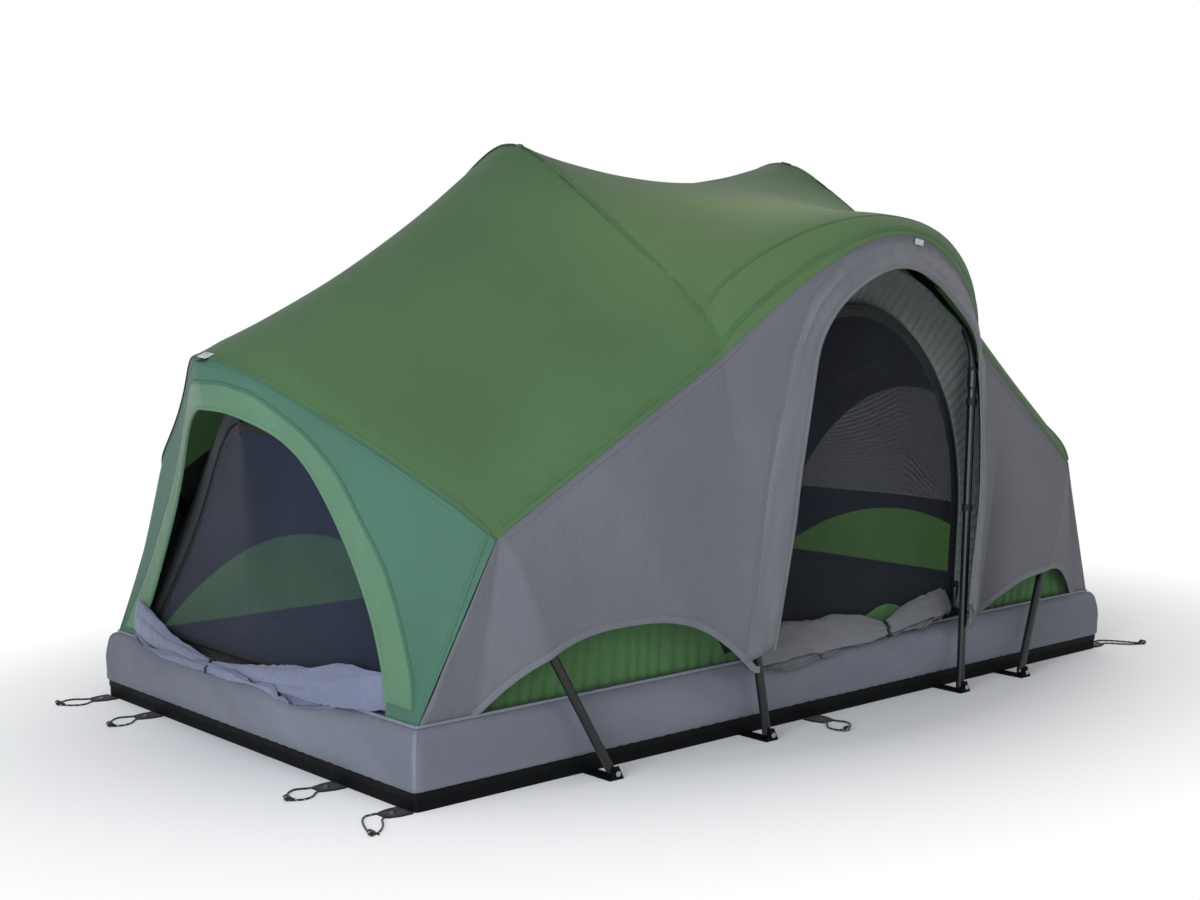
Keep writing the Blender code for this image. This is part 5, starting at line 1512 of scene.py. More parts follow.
def make_sides():
    """Grey sides: the cut door and lenses, their bindings, and the satin arch round each door."""
    look = colours()
    finish = cloth_finish("side_cloth", look.side, worn=0.07, creases=0.7)
    satin = cloth_finish("arch_cloth", dimmed(look.side, 1.14), worn=0.12, rough=0.46, sheen=0.2, creases=1.0)
    seam_look = tape_finish("side_seam", dimmed(look.side, 0.93))
    bound = tape_finish("side_binding", dimmed(look.side, 1.1))
    crease = sizes().crease
    for word, sign in SIDES:
        rows, shares = fine_columns(sign)
        rows[-1] = [top + (top - under).normalized() * SEAM_DROP * 0.95
                    for under, top in zip(rows[-2], rows[-1])]

        def height(i, j, point):
            share = shares[i]
            edge = smooth(share / 0.1) * smooth((1 - share) / 0.1)
            soft = wave(point, (3.4, 3.0, 2.0), 11.0 + sign) * crease
            low = exp(-share / 0.09) * sin(point.x * tau / 0.026 + wave(point, (8, 8, 8), 2) * 3) * 0.0006
            pull = wave(Vector((point.x + point.z * 0.6, 0, point.z * 0.2)), (12.0, 1.0, 3.0), 7.0)
            return max((soft + crease * 0.45) * edge, 0.0) + max(pull, 0.0) * 0.0022 * edge + max(low, 0.0)

        rows, shade_depths = crumple(rows, height)
        name = f"side_sheet_{word}"
        side = cloth(name, rows, finish, shade_depths)
        tree = TREES[name]
        sill, foot = HEM_HEIGHT / 2, DOOR_LEFT - DOOR_FOOT_FLARE
        outline = [(p.x, p.z) for p in drawn(DOOR_EDGE, 4) if p.z > DOOR_FLARE_TOP + 0.01 or p.x > 0]
        outline += [(DOOR_EDGE[-1][0], sill), (foot, sill), (foot, DOOR_FLARE_TOP)]
        cut(side, cutter("door_tool", outline, sign * 0.5, sign * 0.95, "Y"))
        cast = caster(tree, Vector((0, sign, 0)))
        inner, outer = (evenly(drawn(line, 6), BAND_STEPS) for line in (DOOR_EDGE, ARCH_EDGE))
        below = on_edge_height(cast)
        lines = [(p.x, p.z) for p in inner], [(p.x, min(p.z, below(p.x))) for p in outer]

        def ripple(along, share):
            free = smooth(share * 4) * smooth((1 - share) * 4)
            long = 0.5 + noise.noise(Vector((along * 9.0 + share, share * 4.5, sign)))
            top = exp(-(((along - 0.5) / 0.16) ** 2))
            pucker = sin(along * 300.0 + 5.0 * noise.noise(Vector((along * 20, share, 2.0)))) * 0.0012 * top
            return (0.005 * long + pucker) * free

        arch, arch_rows, trims = edged_band("door_arch", "door", word, lines, cast, tree,
                                            (satin, bound, seam_look),
                                            (0.01, 0.009), (0.0024, 0.002), ripple)
        for lens, (start, end, _) in (("left", LEFT_LENS), ("right", RIGHT_LENS)):
            path = traced(cast, [(x, HEM_HEIGHT + HEM_LIFT + lens_rise(x) + 0.0075)
                                 for x in spread(start - 0.01, end + 0.01, 90)])
            trims.append(tape(f"lens_binding_{lens}_{word}", path, bound, tree, width=0.014, height=0.0016))
        for part, stations in (("left", spread(1.03, 2.05, 40)), ("right", spread(2.95, 3.96, 30))):
            path = [roof_point(station, sign * 1.0) + Vector((0, 0, -0.012)) for station in stations]
            trims.append(tape(f"eave_seam_{part}_{word}", path, seam_look, tree, width=0.008, height=0.001))
        settle(side, f"fly_side_{word}", folds=True, slot="side")
        fold_down([arch, *trims], "side")
        declare(side, flat_size(rows), "stretched", [f"{hoop.name}_leg_{word}" for hoop in HOOPS], 0.62,
                with_pieces=trims)
        declare(arch, flat_size(arch_rows), "stretched", [side])


def on_edge_height(cast):
    """The height at which the cloth of a side ends, at each x."""
    marks = []
    for x in spread(-0.4, 0.6, 60):
        z, found = 0.25, 0.25
        while z < 1.15:
            if cast(x, z):
                found = z
            z += 0.008
        marks.append((x, found - 0.01))
    return lambda x: pick(marks, x)[0]


def mirrored_arch(table):
    """A smooth arch in the plane Y = 0 from the far foot over the top to the near foot."""
    return drawn([*reversed(table), *((-across, height) for across, height in table[1:])], 8)


def make_ends():
    """Teal ends with the cut window, its pale green band and the bindings."""
    look = colours()
    finish = cloth_finish("end_cloth", look.end, worn=0.06)
    pale = cloth_finish("window_band_cloth", look.band, worn=0.07, rough=0.6, sheen=0.16, creases=0.6)
    seam_look = tape_finish("end_seam", dimmed(look.end, 0.84))
    bound = tape_finish("band_binding", dimmed(look.band, 0.92))
    crease = sizes().crease
    for word, sign in ENDS:
        hoop = LEFT_END if sign < 0 else RIGHT_END
        shares = spread(0, 1, 34)
        across = [sin(pi / 2 * k) for k in spread(-1, 1, 75)]
        columns = []
        for step in across:
            low = Vector((sign * HEM_X, HEM_Y * step, HEM_HEIGHT + HEM_LIFT))
            high = brim_point(hoop, step)
            high = high + (low - high).normalized() * SEAM_DROP * 0.3 + Vector((-sign * SEAM_GAP, -SEAM_GAP
                                                                                * step, 0))
            column = [low.lerp(high, share) for share in shares]
            for point, share in zip(column, shares):
                point.x += sign * END_BULGE * 4 * share * (1 - share) * (1 - step ** 4)
            columns.append(column)
        rows = [list(row) for row in zip(*columns)]

        def height(i, j, point):
            edge = smooth(shares[i] / 0.12) * smooth((1 - shares[i]) / 0.1) * smooth((1 - abs(across[j]))
                                                                                     / 0.1)
            soft = wave(point, (2.0, 4.0, 2.6), 21.0 + sign) * crease * 1.3
            low = exp(-shares[i] / 0.07) * sin(point.y * tau / 0.024) * 0.0006
            return (soft + crease * 0.3) * edge + max(low, 0.0)

        rows, shade_depths = crumple(rows, height)
        name = f"end_sheet_{word}"
        end = cloth(name, rows, finish, shade_depths)
        tree = TREES[name]
        opening = [(p.x, p.z) for p in mirrored_arch(WINDOW_EDGE)]
        cut(end, cutter("window_tool", opening, sign * 0.85, sign * 1.25, "X"))
        cast = caster(tree, Vector((sign, 0, 0)))
        inner = [p for p in mirrored_arch(WINDOW_EDGE) if p.z > 0.158]
        lines = [[(p.x, p.z) for p in evenly(line, BAND_STEPS)] for line in (inner, mirrored_arch(BAND_EDGE))]

        def ripple(along, share):
            return 0.0018 * smooth(share * 4) * smooth((1 - share) * 4) * (
                0.5 + noise.noise(Vector((along * 24, share * 2, sign + 5))))

        band, band_rows, trims = edged_band("window_band", "window", word, lines, cast, tree,
                                            (pale, bound, seam_look), (0.009, 0.008), (0.0026, 0.0022),
                                            ripple)
        for side, way in SIDES:
            low = Vector((sign * HEM_X, way * HEM_Y * 0.99, HEM_HEIGHT + HEM_LIFT))
            path = [low.lerp(brim_point(hoop, way * 0.985), share) for share in spread(0.03, 0.96, 60)]
            trims.append(tape(f"end_corner_seam_{word}_{side}", path, seam_look, tree, width=0.009))
        path = [brim_point(hoop, share) + Vector((0, 0, -0.014)) for share in spread(-0.9, 0.9, 110)]
        trims.append(tape(f"end_brim_seam_{word}", path, seam_look, tree, width=0.009, height=0.001))
        settle(end, f"fly_end_{word}", folds=True, slot="end")
        fold_down([band, *trims], "end")
        declare(end, flat_size(rows), "stretched", [f"{hoop.name}_bow"], 0.48, with_pieces=trims)
        declare(band, flat_size(band_rows), "stretched", [end])


# Rolled flaps


def roll_point(roll, share, turn, inner, place, out, tie, seed):
    """A point on a flap that is rolled, pulled flat and drawn in by its tie; a turn of 0 points outwards."""
    low, high, out_low, out_high, thick, _ = pick(roll, share)
    angle = tau * turn
    side, up = cos(angle), sin(angle)
    near = exp(-(((share - tie) / 0.05) ** 2))
    fold = 0.2 - 0.85 * abs(noise.noise(Vector((share * 4.0 + up * 1.4, side * 1.3, up * 1.3 + seed))))
    fold += 0.07 * noise.noise(Vector((share * 15.0 + up * 3.0, side * 1.6 + seed, up * 1.6)))
    fold += 0.1 * near * sin(angle * 5 + seed)
    size = inner * (1 + fold * (1 - 0.6 * (1 - inner)))
    level = (high + low) / 2 + (high - low) / 2 * size * up * abs(up) ** -0.15 if up else (high + low) / 2
    lean = out_low + (out_high - out_low) * (level - low) / (high - low)
    away = lean + thick * size * side
    floor = pick(SHOULDER, -away)[0] + 0.0014 + 0.0012 * (1 - inner)
    return place + out * away + Vector((0.0, 0.0, max(HEM_HEIGHT + level, floor)))


def folded_flap(name, roll, place_of, out, tie, finish, look, seed):
    """A rolled flap with the tape of its free edge and its tie."""
    steps, turns = 30, 2.4
    shares = spread(0, 1, 150)
    count = int(steps * turns)
    rows = []
    for k in range(count + 1):
        inner = 1 - 0.8 * (k / count)
        rows.append([roll_point(roll, s, pick(roll, s)[5] - k / steps, inner, place_of(s), out, tie, seed)
                     for s in shares])
    piece = cloth(name, rows, finish, wall=0.0009, offset=0.0)
    hem = tape(f"{name}_hem", rows[0][2:-2], look, TREES[name], width=0.009, height=0.0012)
    wraps = [roll_point(roll, tie, k / 40, 1.06, place_of(tie), out, tie, seed) for k in range(40)]
    middle = sum(wraps, Vector()) / 40
    along = UP.cross(out).normalized()
    half = 0.0042
    rings = []
    for point in wraps:
        normal = (point - middle).normalized()
        rings.append([point + along * a + normal * b
                      for a, b in ((-half, -0.001), (-half, 0.0011), (half, 0.0011), (half, -0.001))])
    strap = sweep(f"{name}_tie", rings, running(wraps), [-half, -half * 0.8, half * 0.8, half, -half],
                  webbing_finish("tie_webbing", dimmed(colours().black, 0.75)), closed=True)
    away = wraps[6] - middle
    toggle = round_corner_box(f"{name}_toggle", (0.014, 0.007, 0.005),
                              moulded_finish("toggle", dimmed(colours().black, 0.6), 0.4),
                              axes(wraps[6] + away.normalized() * 0.003, away, along), 0.002, 3)
    return piece, rows, [hem, joined(f"{name}_tie", strap, toggle)]


def make_flaps():
    """Rolled flaps on the sills, each drawn in by its tie."""
    look = colours()
    for kind, places, roll, tie in (("door", SIDES, DOOR_ROLL, 0.65), ("window", ENDS, WINDOW_ROLL, 0.63)):
        # The window flaps' cool grey is partly the cloth's grey and partly a painted cast of cool lamp light.
        colour = look.flap if kind == "window" else dimmed(look.side, 1.02)
        finish = cloth_finish(f"{kind}_flap_cloth", colour, worn=0.1, rough=0.5, sheen=0.25, creases=1.0)
        hem = tape_finish(f"{kind}_flap_hem", dimmed(colour, 0.9))
        for word, sign in places:
            out = Vector((0, sign, 0)) if kind == "door" else Vector((sign, 0, 0))

            def place_of(share):
                if kind == "door":
                    return Vector((-0.222 + 0.688 * share, sign * HEM_Y, 0))
                return Vector((sign * HEM_X, -0.492 + 0.984 * share, 0))

            name = f"{kind}_flap_roll_{word}"
            piece, rows, parts = folded_flap(name, roll, place_of, out, tie, finish, hem, 3.0 + sign
                                             + len(kind))
            settle(piece, f"{kind}_flap_{word}", folds=True, slot="flap")
            settle(parts[0], folds=True, slot="flap")
            settle(parts[1], folds=True, slot="plate")
            declare(piece, flat_size(rows), "folded", ["base_band"], with_pieces=parts)


# Inner tent


def inner_grids(walls, roofs, stations):
    """Grids of the inner tent: the vault and its two ends."""
    grids = [[inner_section(station, walls, roofs) for station in stations]]
    steps = len(walls) - 1
    for station in (1, 4):
        section = inner_section(station, walls, roofs)
        top = section[steps:-steps]
        rows = []
        for level, share in enumerate(walls):
            row = [section[0].lerp(section[-1], k / (len(top) - 1)).lerp(point, share)
                   for k, point in enumerate(top)]
            row[0], row[-1] = section[level], section[-1 - level]
            rows.append(row)
        grids.append(rows)
    return grids


def gathers(base, length, depth, reach=0.15, top=0.22, way=1):
    """Gathers that run up a strip from its hem, deepest at the hem, at each place on the strip."""
    def ripple(along, share):
        place, level = along * length, share * reach
        turn = place * tau / GATHER_PITCH + 2.6 * noise.noise(Vector((place * 11.0, 0, 3.0)))
        lean = 5.0 * noise.noise(Vector((place * 4.0, level * 5.0, 1.0)))
        return way * (base + (abs(sin((turn + lean) / 2)) - 0.5) * depth * (1 - smooth(level / top)))

    return ripple


def dome(span, foot, rise, power=2):
    """A line over a span that rises in its middle and hardly at its ends."""
    middle, half = (span[0] + span[-1]) / 2, (span[-1] - span[0]) / 2
    return [(x, foot + rise * max(1 - ((x - middle) / half) ** power, 0.02)) for x in span]


def level_line(span, height):
    """A level line over a span."""
    return [(x, height) for x in span]


def wall_strip(name, edges, cast, finish, rests_on, held="gathered", share=None, **how):
    """A strip of cloth on the inner tent's wall."""
    panel, rows = laid_band(name, *edges, cast, finish, **how)
    settle(panel, folds=True, slot="inner")
    declare(panel, flat_size(rows), held, rests_on, share)


def zip_teeth(name, path, finish, tree):
    """Two rows of small teeth that meet along a zip."""
    shape = bmesh.new()
    points = resample(path, sizes().tooth)
    for point, way in zip(points, frames(points)):
        place, normal = lay(tree, point)
        side = normal.cross(way).normalized()
        corner = Matrix((way, side, normal)).transposed().to_4x4() @ Matrix.Diagonal(TOOTH_SIZE)
        for turn in (-1, 1):
            middle = place + normal * 0.0016 + side * (0.0012 * turn) + way * (0.25 * sizes().tooth * turn)
            bmesh.ops.create_cube(shape, size=1.0, matrix=Matrix.Translation(middle) @ corner)
    return add_piece(name, shape, finish)


def make_zip(kind, word, cast, tree, arch, sill, width):
    """A zip's tape and teeth along an arch and its sill. Gives the arch as it lies on the wall."""
    black = colours().black
    path = traced(cast, arch)
    loop = path + traced(cast, sill)
    belt = tape(f"{kind}_zip_tape_{word}", resample(loop, 0.006),
                tape_finish("zip_tape", dimmed(black, 0.9), stitch=dimmed(black, 2.2)), tree,
                width=width, height=0.001)
    teeth = zip_teeth(f"{kind}_zip_teeth_{word}", loop, moulded_finish("zip_teeth", dimmed(black, 1.5), 0.35),
                      tree)
    fold_down((belt, teeth), "slider")
    return path


def make_leaf(wall, kind, word, arch, span, axis, painted_light_share, share, open_share):
    """A mesh door or window, cut out of the wall that it fills."""
    leaf = copied(wall, f"mesh_leaf_{word}" if kind == "door" else f"mesh_window_leaf_{word}")
    cut(leaf, cutter("leaf_tool", arch, *span, axis), "INTERSECT")
    # The mesh's colour is scaled: darker as painted shade in the doors, paler as painted light in the
    # windows.
    paint(leaf, mesh_finish(f"{kind}_mesh", dimmed(colours().mesh, painted_light_share), open_share))
    settle(leaf, f"mesh_{kind}_{word}", folds=True, slot="mesh")
    size = ((MESH_DOOR_HALF * 2, MESH_DOOR_TOP - MESH_DOOR_SILL) if kind == "door"
            else (MESH_WINDOW_HALF * 2, MESH_WINDOW_TOP - MESH_WINDOW_SILL))
    declare(leaf, size, "stretched", [wall], share)


def make_gusset(word, sign, cast, rests_on):
    """The ruched gusset that joins the mesh door to the arch of the fly."""
    grey = cloth_finish("gusset_cloth", dimmed(colours().gusset, 0.82), worn=0.1, rough=0.58, sheen=0.2,
                        creases=0.8)
    inner = [Vector((x, 0, z)) for x, z in door_arch(grow=0.012, sill=0.165, steps=120)
             if x > 0 or z > GUSSET_EDGE[0][1]]
    inner, outer = (evenly(line, GUSSET_STEPS) for line in (inner, drawn(GUSSET_EDGE, 8)))
    length = running(outer)[-1]
    rows, shade_depths = [], []
    for share in spread(0, 1, 12):
        row, marks = [], []
        for i, (a, b) in enumerate(zip(inner, outer)):
            hit = cast(a.x, a.z)
            start = hit[0] + hit[1] * 0.002 if hit else Vector((a.x, sign * 0.56, a.z))
            place = length * i / GUSSET_STEPS
            turn = place * tau / 0.026 + 2.0 * noise.noise(Vector((place * 14, share * 1.5, 2.0)))
            ruche = (abs(sin(turn / 2)) - 0.6) * 0.015 * smooth(share * 5) * smooth((1 - share) * 4)
            toward = Vector((a.x - 0.122, 0, a.z - 0.4)).normalized()
            row.append(start.lerp(Vector((b.x, sign * 0.618, b.z)), share)
                       + toward * (0.016 * sin(pi * share) + ruche) + Vector((0, sign * ruche * 0.6, 0)))
            # The valley of each ruche is darkened as painted shade.
            marks.append(min(max(1.15 - 1.5 * abs(sin(turn / 2)), 0.0), 1.0))
        rows.append(row)
        shade_depths.append(marks)
    gusset = cloth(f"ruched_gusset_{word}", rows, grey, shade_depths, wall=0.0008, keep_tree=False)
    settle(gusset, folds=True, slot="inner")
    declare(gusset, flat_size(rows), "gathered", rests_on)


def make_inner_sides(rows, dark):
    """The vault with its mesh doors and their zips, the lower walls behind the lenses, sills and gussets."""
    depth = sizes().gather
    green = cloth_finish("lower_wall_cloth", colours().kick, worn=0.12, rough=0.62, sheen=0.2, creases=1.0)
    # Painted light: the linings glow as if daylight came through the lenses.
    lit = cloth_finish("lit_wall_cloth", linear(SUNNY), worn=0.2, rough=0.62, glow=2.6)
    rows, _ = crumple(rows, lambda i, j, p: wave(p, (3, 3, 3), 31.0) * 0.0035
                      * smooth((p.z - HEM_HEIGHT) / 0.05) * smooth((p.z - 0.147) / 0.02))
    vault = cloth("inner_vault", rows, dark, wall=INNER_CLOTH)
    tree = TREES["inner_vault"]
    small = door_arch(grow=-LEAF_GAP, sill=MESH_DOOR_SILL + LEAF_GAP)
    for word, sign in SIDES:
        # The door mesh is darkened to 0.62 as painted shade.
        make_leaf(vault, "door", word, small, (sign * 0.35, sign * 0.75), "Y", 0.62, 0.86, 0.8)
    arch = door_arch()
    for word, sign in SIDES:
        cut(vault, cutter("inner_tool", arch, sign * 0.35, sign * 0.75, "Y"))
    settle(vault, "inner_tent", folds=True, slot="inner")
    declare(vault, flat_size(rows), "hung", ["base_band", "left_main_bow", "right_main_bow"])
    for word, sign in SIDES:
        cast = caster(tree, Vector((0, sign, 0)))
        for lens, (start, end, rise) in (("left", LEFT_LENS), ("right", RIGHT_LENS)):
            span = spread(start - 0.03, end + 0.03, 150)
            length = span[-1] - span[0]
            hem = level_line(span, WALL_FOOT)
            wall_strip(f"lower_wall_{lens}_{word}", (hem, dome(span, 0.15, rise + 0.04, 4)), cast, green,
                       [vault],
                       share=0.9, lift=0.0, wall=0.0012, across=16, ripple=gathers(0.0035, length, depth))
            wall_strip(f"lower_lining_{lens}_{word}", (hem, dome(span, 0.15, rise + 0.04)), cast, lit,
                       [vault],
                       share=0.9, lift=0.0, wall=0.001, across=16,
                       ripple=gathers(0.0042, length, depth * 0.7, way=-1))
        span = spread(-0.27, 0.5, 120)
        high = [(x, 0.17 + 0.034 * exp(-(((x - 0.27) / 0.1) ** 2)) + 0.004 * sin(x * 31)) for x in span]
        wall_strip(f"door_sill_{word}", (level_line(span, WALL_FOOT), high), cast, green, [vault], lift=0.0,
                   across=8,
                   ripple=gathers(0.0035, 0.77, 0.004, reach=0.1, top=0.3))
        make_gusset(word, sign, cast, [vault])
        span = spread(MESH_DOOR_CENTRE + MESH_DOOR_HALF - 0.004, MESH_DOOR_CENTRE - MESH_DOOR_HALF + 0.004,
                      70)
        make_zip("door", word, cast, tree, door_arch(steps=90),
                 level_line(span, MESH_DOOR_SILL + 0.0005), 0.026)


def make_inner_ends(grids, dark):
    """The inner tent's ends with their mesh windows, zips and facings, and the gathers in the right one."""
    facing_look = tape_finish("facing_tape", dimmed(colours().black, 0.5))
    # Painted light: the right end's lining glows as if daylight came through it.
    bright = cloth_finish("lit_end_cloth", linear(SUNNY), worn=0.2, rough=0.62, glow=1.1)
    half, top, sill = MESH_WINDOW_HALF, MESH_WINDOW_TOP, MESH_WINDOW_SILL
    small = window_arch(half - LEAF_GAP, top - LEAF_GAP, sill + LEAF_GAP)
    for (word, sign), rows in zip(ENDS, grids):
        name = f"inner_end_{word}"
        rows, _ = crumple(rows, lambda i, j, p: wave(p, (3, 3, 3), 41.0) * 0.003 * smooth(i / 4)
                          * smooth((len(rows) - 1 - i) / 3) * smooth(j / 3)
                          * smooth((len(rows[0]) - 1 - j) / 3))
        wall = cloth(name, rows, dark, wall=INNER_CLOTH)
        span = (sign * 0.8, sign * 1.2)
        # The window mesh is paled to 1.2 as painted light.
        make_leaf(wall, "window", word, small, span, "X", 1.2, 0.66, 0.62)
        cut(wall, cutter("inner_tool", window_arch(half, top, sill), *span, "X"))
        settle(wall, folds=True, slot="inner")
        declare(wall, flat_size(rows), "hung", ["inner_vault"], 0.45)

    for word, sign in ENDS:
        tree = TREES[f"inner_end_{word}"]
        cast = caster(tree, Vector((sign, 0, 0)))
        path = make_zip("window", word, cast, tree, window_arch(half, top, sill, 90),
                        level_line(spread(-half + 0.004, half - 0.004, 70), sill + 0.0005), 0.024)
        facing = tape(f"window_facing_{word}", resample(path, 0.008), facing_look, tree, width=0.03,
                      height=0.003,
                      inside=Vector((sign * 4.0, 0, 0.3)))
        settle(facing, folds=True, slot="inner")
    span = spread(-0.43, 0.43, 130)
    hem = level_line(span, WALL_FOOT)
    behind = ["inner_end_right"]
    wall_strip("lower_wall_end", (hem, level_line(span, 0.34)), cast, dark, behind, held="hung",
               lift=-0.0018, wall=0.001, across=6)
    wall_strip("lower_lining_end_right", (hem, dome(span, 0.152, 0.15)), cast, bright, behind, share=0.85,
               lift=0.0, wall=0.001, across=14, ripple=gathers(0.005, 0.86, sizes().gather * 0.7, way=-1))


def make_inner_tent():
    """Inner tent: dark walls with mesh doors and windows, gathered lower walls, ruched gussets and zips."""
    dark = cloth_finish("inner_cloth", colours().inner, worn=0.12, rough=0.8)
    stations = spread(1, 2, 26)[:-1] + spread(2, 3, 40)[:-1] + spread(3, 4, 26)
    vault, *ends = inner_grids(spread(0, 1, 26), spread(0, 0.96, 17)[1:], stations)
    make_inner_sides(vault, dark)
    make_inner_ends(ends, dark)
    make_sliders()


def make_sliders():
    """Zip sliders: a shaped body, a bridge, a pull, and a cord tail."""
    look = colours()
    paint = moulded_finish("slider_paint", dimmed(look.black, 0.9), 0.35)
    cord_look = cord_finish("shock_cord", dimmed(look.black, 0.8))
    grids = inner_grids((0, 0.35, 0.7, 1), (0.35, 0.7, 0.93),
                        (1, 1.5, 2, 2.16, 2.33, 2.5, 2.67, 2.84, 3, 3.5, 4))
    shape = bmesh.new()
    for rows in grids:
        grid = [[shape.verts.new(point) for point in row] for row in rows]
        for i in range(len(rows) - 1):
            for j in range(len(rows[0]) - 1):
                shape.faces.new((grid[i][j], grid[i][j + 1], grid[i + 1][j + 1], grid[i + 1][j]))
    bmesh.ops.triangulate(shape, faces=shape.faces)
    tree = BVHTree.FromBMesh(shape)
    shape.free()
    places = []
    for word, sign in SIDES:
        x = MESH_DOOR_CENTRE + MESH_DOOR_HALF + 0.012
        starts = [Vector((x, sign, 0.225 + rise)) for rise in (0.0, 0.16)]
        heading = Vector((0, -sign, 0))
        low, high = (tree.ray_cast(start, heading)[0] for start in starts)
        places.append((f"door_slider_{word}", starts[0], heading, high - low))
    for word, sign in ENDS:
        start = Vector((sign * 1.5, 0, MESH_WINDOW_TOP + 0.012))
        places.append((f"window_slider_{word}", start, Vector((-sign, 0, 0)), UP))
    for name, start, heading, along in places:
        point, normal = tree.ray_cast(start, heading)[:2]
        normal = -normal if normal.dot(heading) > 0 else normal
        body = round_corner_box(name + "_body", (0.015, 0.01, 0.0066), paint,
                                Matrix.Translation((0, 0, 0.0042)),
                                0.0022, 3)
        for vert in body.data.vertices:
            if vert.co.x < 0:
                vert.co.y *= 0.72
        pull = round_corner_box(name + "_pull", (0.024, 0.0064, 0.0018), paint,
                                Matrix.Translation((-0.0155, 0.0, 0.0088)), 0.0008)
        cords = [tube(name + word, curved([Vector(mark) for mark in marks], 4), radius, finish, sides=8)
                 for word, marks, radius,
                 finish in (("_bridge", BRIDGE, 0.0012, paint), ("_tail", TAIL, 0.0013, cord_look))]
        piece = joined(name + "_shaped", body, cords[0], pull, cords[1])
        carry(piece, axes(point + normal * 0.001, normal, along))
        settle(piece, name, body=name + "_body", folds=True, slot="slider")


# Small trims


def make_trims():
    """Webbing tabs at the brims and brows, and the clips that hold the fly to the main legs."""
    look = colours()
    silver = webbing_finish("silver_webbing", linear("c9cbcd"))
    black = webbing_finish("tie_webbing", dimmed(look.black, 0.75))
    rubber = moulded_finish("sleeve_rubber", dimmed(look.black, 0.5), 0.6)
    tree = TREES["roof_sheet"]
    for (word, sign), station in zip(ENDS, (0.03, 4.97)):
        place, normal = lay(tree, roof_point(station, -0.03))
        way = Vector((0, 1.0, 0))
        under = place + normal * 0.0006 + Vector((sign * 0.004, 0, -0.006))
        fold_down((round_corner_box(f"brim_tab_{word}", (0.03, 0.022, 0.0016), silver,
                                    axes(place + normal * 0.0012, normal, way)),
                   round_corner_box(f"brim_strap_{word}", (0.018, 0.03, 0.0016), black,
                                    axes(under, normal, way))),
                  "plate")
    for word, sign in SIDES:
        place, normal = lay(TREES[f"side_sheet_{word}"], roof_point(2.56, sign) + Vector((0, 0, -0.012)))
        way = (roof_point(2.6, sign) - roof_point(2.52, sign)).normalized()
        fold_down([round_corner_box(f"brow_tab_{word}", (0.028, 0.012, 0.0016), silver,
                                    axes(place + normal * 0.0075, normal, way))], "plate")
        for hoop in (LEFT_MAIN, RIGHT_MAIN):
            for height in (0.42, 0.66):
                ring = lathe(f"clip_{hoop.name}_{word}_{int(height * 100)}", CLIP, rubber,
                             turned(hoop.leg_at(sign, height), hoop.shoulder_point(sign) - hoop.foot(sign)),
                             18)
                settle(ring, body=f"{hoop.name}_hoop", slot="plate")


# The add-on's operators, panel and registration


class TENT_OT_stage(bpy.types.Operator):
    """Make the floor, lamps, world and camera"""

    bl_idname = "tent.stage"
    bl_label = "Stage"

    def execute(self, context):
        make_stage()
        return {"FINISHED"}


class TENT_OT_tie_downs(bpy.types.Operator):
    """Make the ten tie-downs: webbing plates, rivets, shock-cord loops and knots"""

    bl_idname = "tent.tie_downs"
    bl_label = "Tie-downs"

    def execute(self, context):
        make_tie_downs()
        return {"FINISHED"}


class TENT_OT_base(bpy.types.Operator):
    """Make the base's cover, piping, corner seams and tub binding"""

    bl_idname = "tent.base"
    bl_label = "Base"

    def execute(self, context):
        make_base()
        return {"FINISHED"}


class TENT_OT_mattress(bpy.types.Operator):
    """Make the mattress in its cover"""

    bl_idname = "tent.mattress"
    bl_label = "Mattress"

    def execute(self, context):
        make_mattress()
        return {"FINISHED"}


class TENT_OT_hoops(bpy.types.Operator):
    """Finish the hoops and add their pin heads and sleeves"""

    bl_idname = "tent.hoops"
    bl_label = "Hoops"

    def execute(self, context):
        make_hoops()
        return {"FINISHED"}


class TENT_OT_inner_tent(bpy.types.Operator):
    """Make the inner tent with its mesh, zips, gathered walls and gussets"""

    bl_idname = "tent.inner_tent"
    bl_label = "Inner tent"

    def execute(self, context):
        make_inner_tent()
        return {"FINISHED"}


class TENT_OT_roof(bpy.types.Operator):
    """Make the fly's roof with its seams and brow rods"""

    bl_idname = "tent.roof"
    bl_label = "Roof"

    def execute(self, context):
        make_roof()
        return {"FINISHED"}


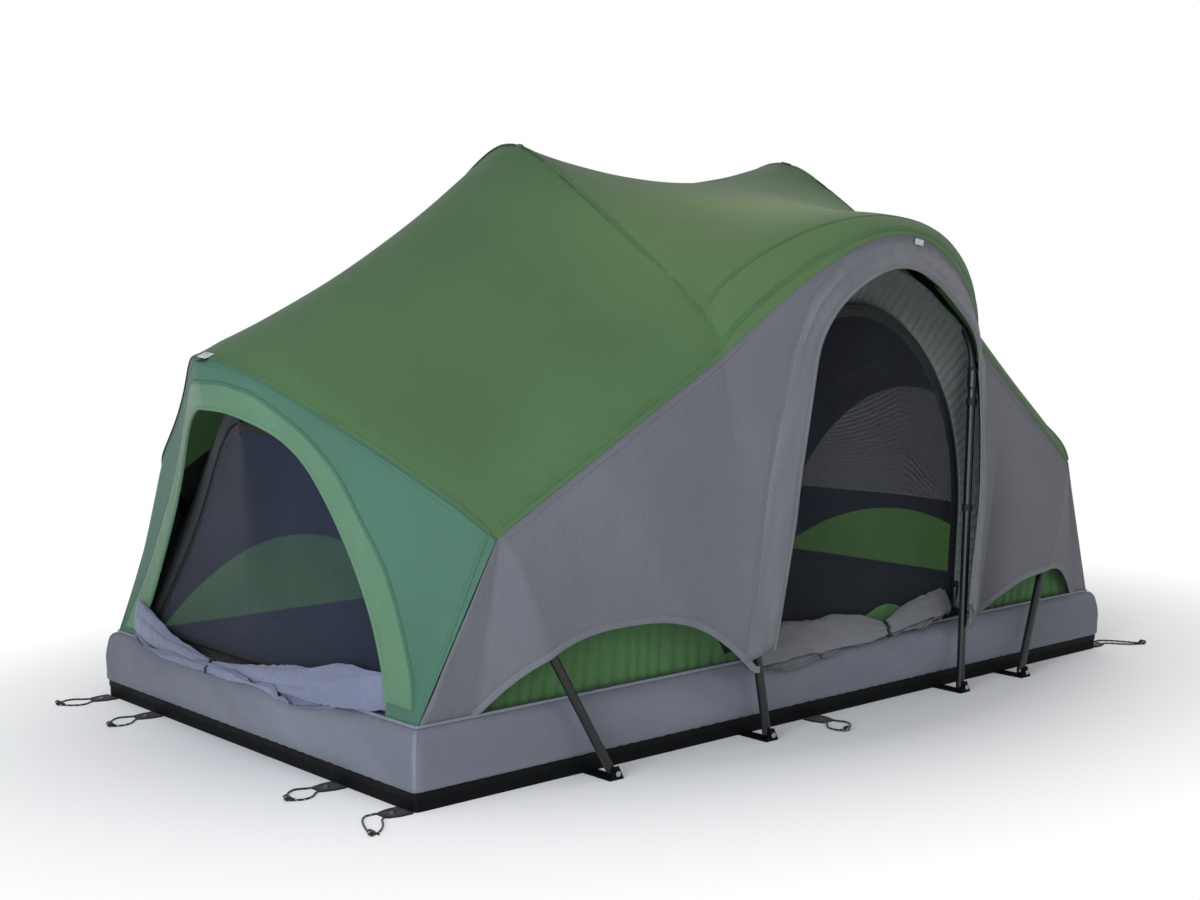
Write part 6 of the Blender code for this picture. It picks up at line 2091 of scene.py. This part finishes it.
class TENT_OT_sides(bpy.types.Operator):
    """Make the fly's sides with their door arches and lens bindings"""

    bl_idname = "tent.sides"
    bl_label = "Sides"

    def execute(self, context):
        make_sides()
        return {"FINISHED"}


class TENT_OT_ends(bpy.types.Operator):
    """Make the fly's ends with their window bands"""

    bl_idname = "tent.ends"
    bl_label = "Ends"

    def execute(self, context):
        make_ends()
        return {"FINISHED"}


class TENT_OT_flaps(bpy.types.Operator):
    """Make the rolled door and window flaps with their ties"""

    bl_idname = "tent.flaps"
    bl_label = "Flaps"

    def execute(self, context):
        make_flaps()
        return {"FINISHED"}


class TENT_OT_trims(bpy.types.Operator):
    """Make the webbing tabs and clips"""

    bl_idname = "tent.trims"
    bl_label = "Trims"

    def execute(self, context):
        make_trims()
        return {"FINISHED"}


STEPS = (TENT_OT_stage, TENT_OT_tie_downs, TENT_OT_base, TENT_OT_mattress, TENT_OT_hoops, TENT_OT_inner_tent,
         TENT_OT_roof, TENT_OT_sides, TENT_OT_ends, TENT_OT_flaps, TENT_OT_trims)


class TENT_PT_panel(bpy.types.Panel):
    """The steps, sizes and colours of the tent"""

    bl_label = "Truck bed tent"
    bl_idname = "TENT_PT_panel"
    bl_space_type = "VIEW_3D"
    bl_region_type = "UI"
    bl_category = "Tent"

    def draw(self, context):
        for step in STEPS:
            self.layout.operator(step.bl_idname)
        for group in (context.scene.tent_sizes, context.scene.tent_colours):
            box = self.layout.box()
            for name in group.__annotations__:
                box.prop(group, name)


CLASSES = (TentSizes, TentColours, *STEPS, TENT_PT_panel)


def register():
    for item in CLASSES:
        bpy.utils.register_class(item)
    bpy.types.Scene.tent_sizes = PointerProperty(type=TentSizes)
    bpy.types.Scene.tent_colours = PointerProperty(type=TentColours)


def unregister():
    del bpy.types.Scene.tent_colours
    del bpy.types.Scene.tent_sizes
    for item in reversed(CLASSES):
        bpy.utils.unregister_class(item)


def main():
    """Run every step in order."""
    register()
    bpy.ops.object.select_all(action="DESELECT")
    for step in STEPS:
        group, name = step.bl_idname.split(".")
        getattr(getattr(bpy.ops, group), name)()


if __name__ == "__main__":
    main()
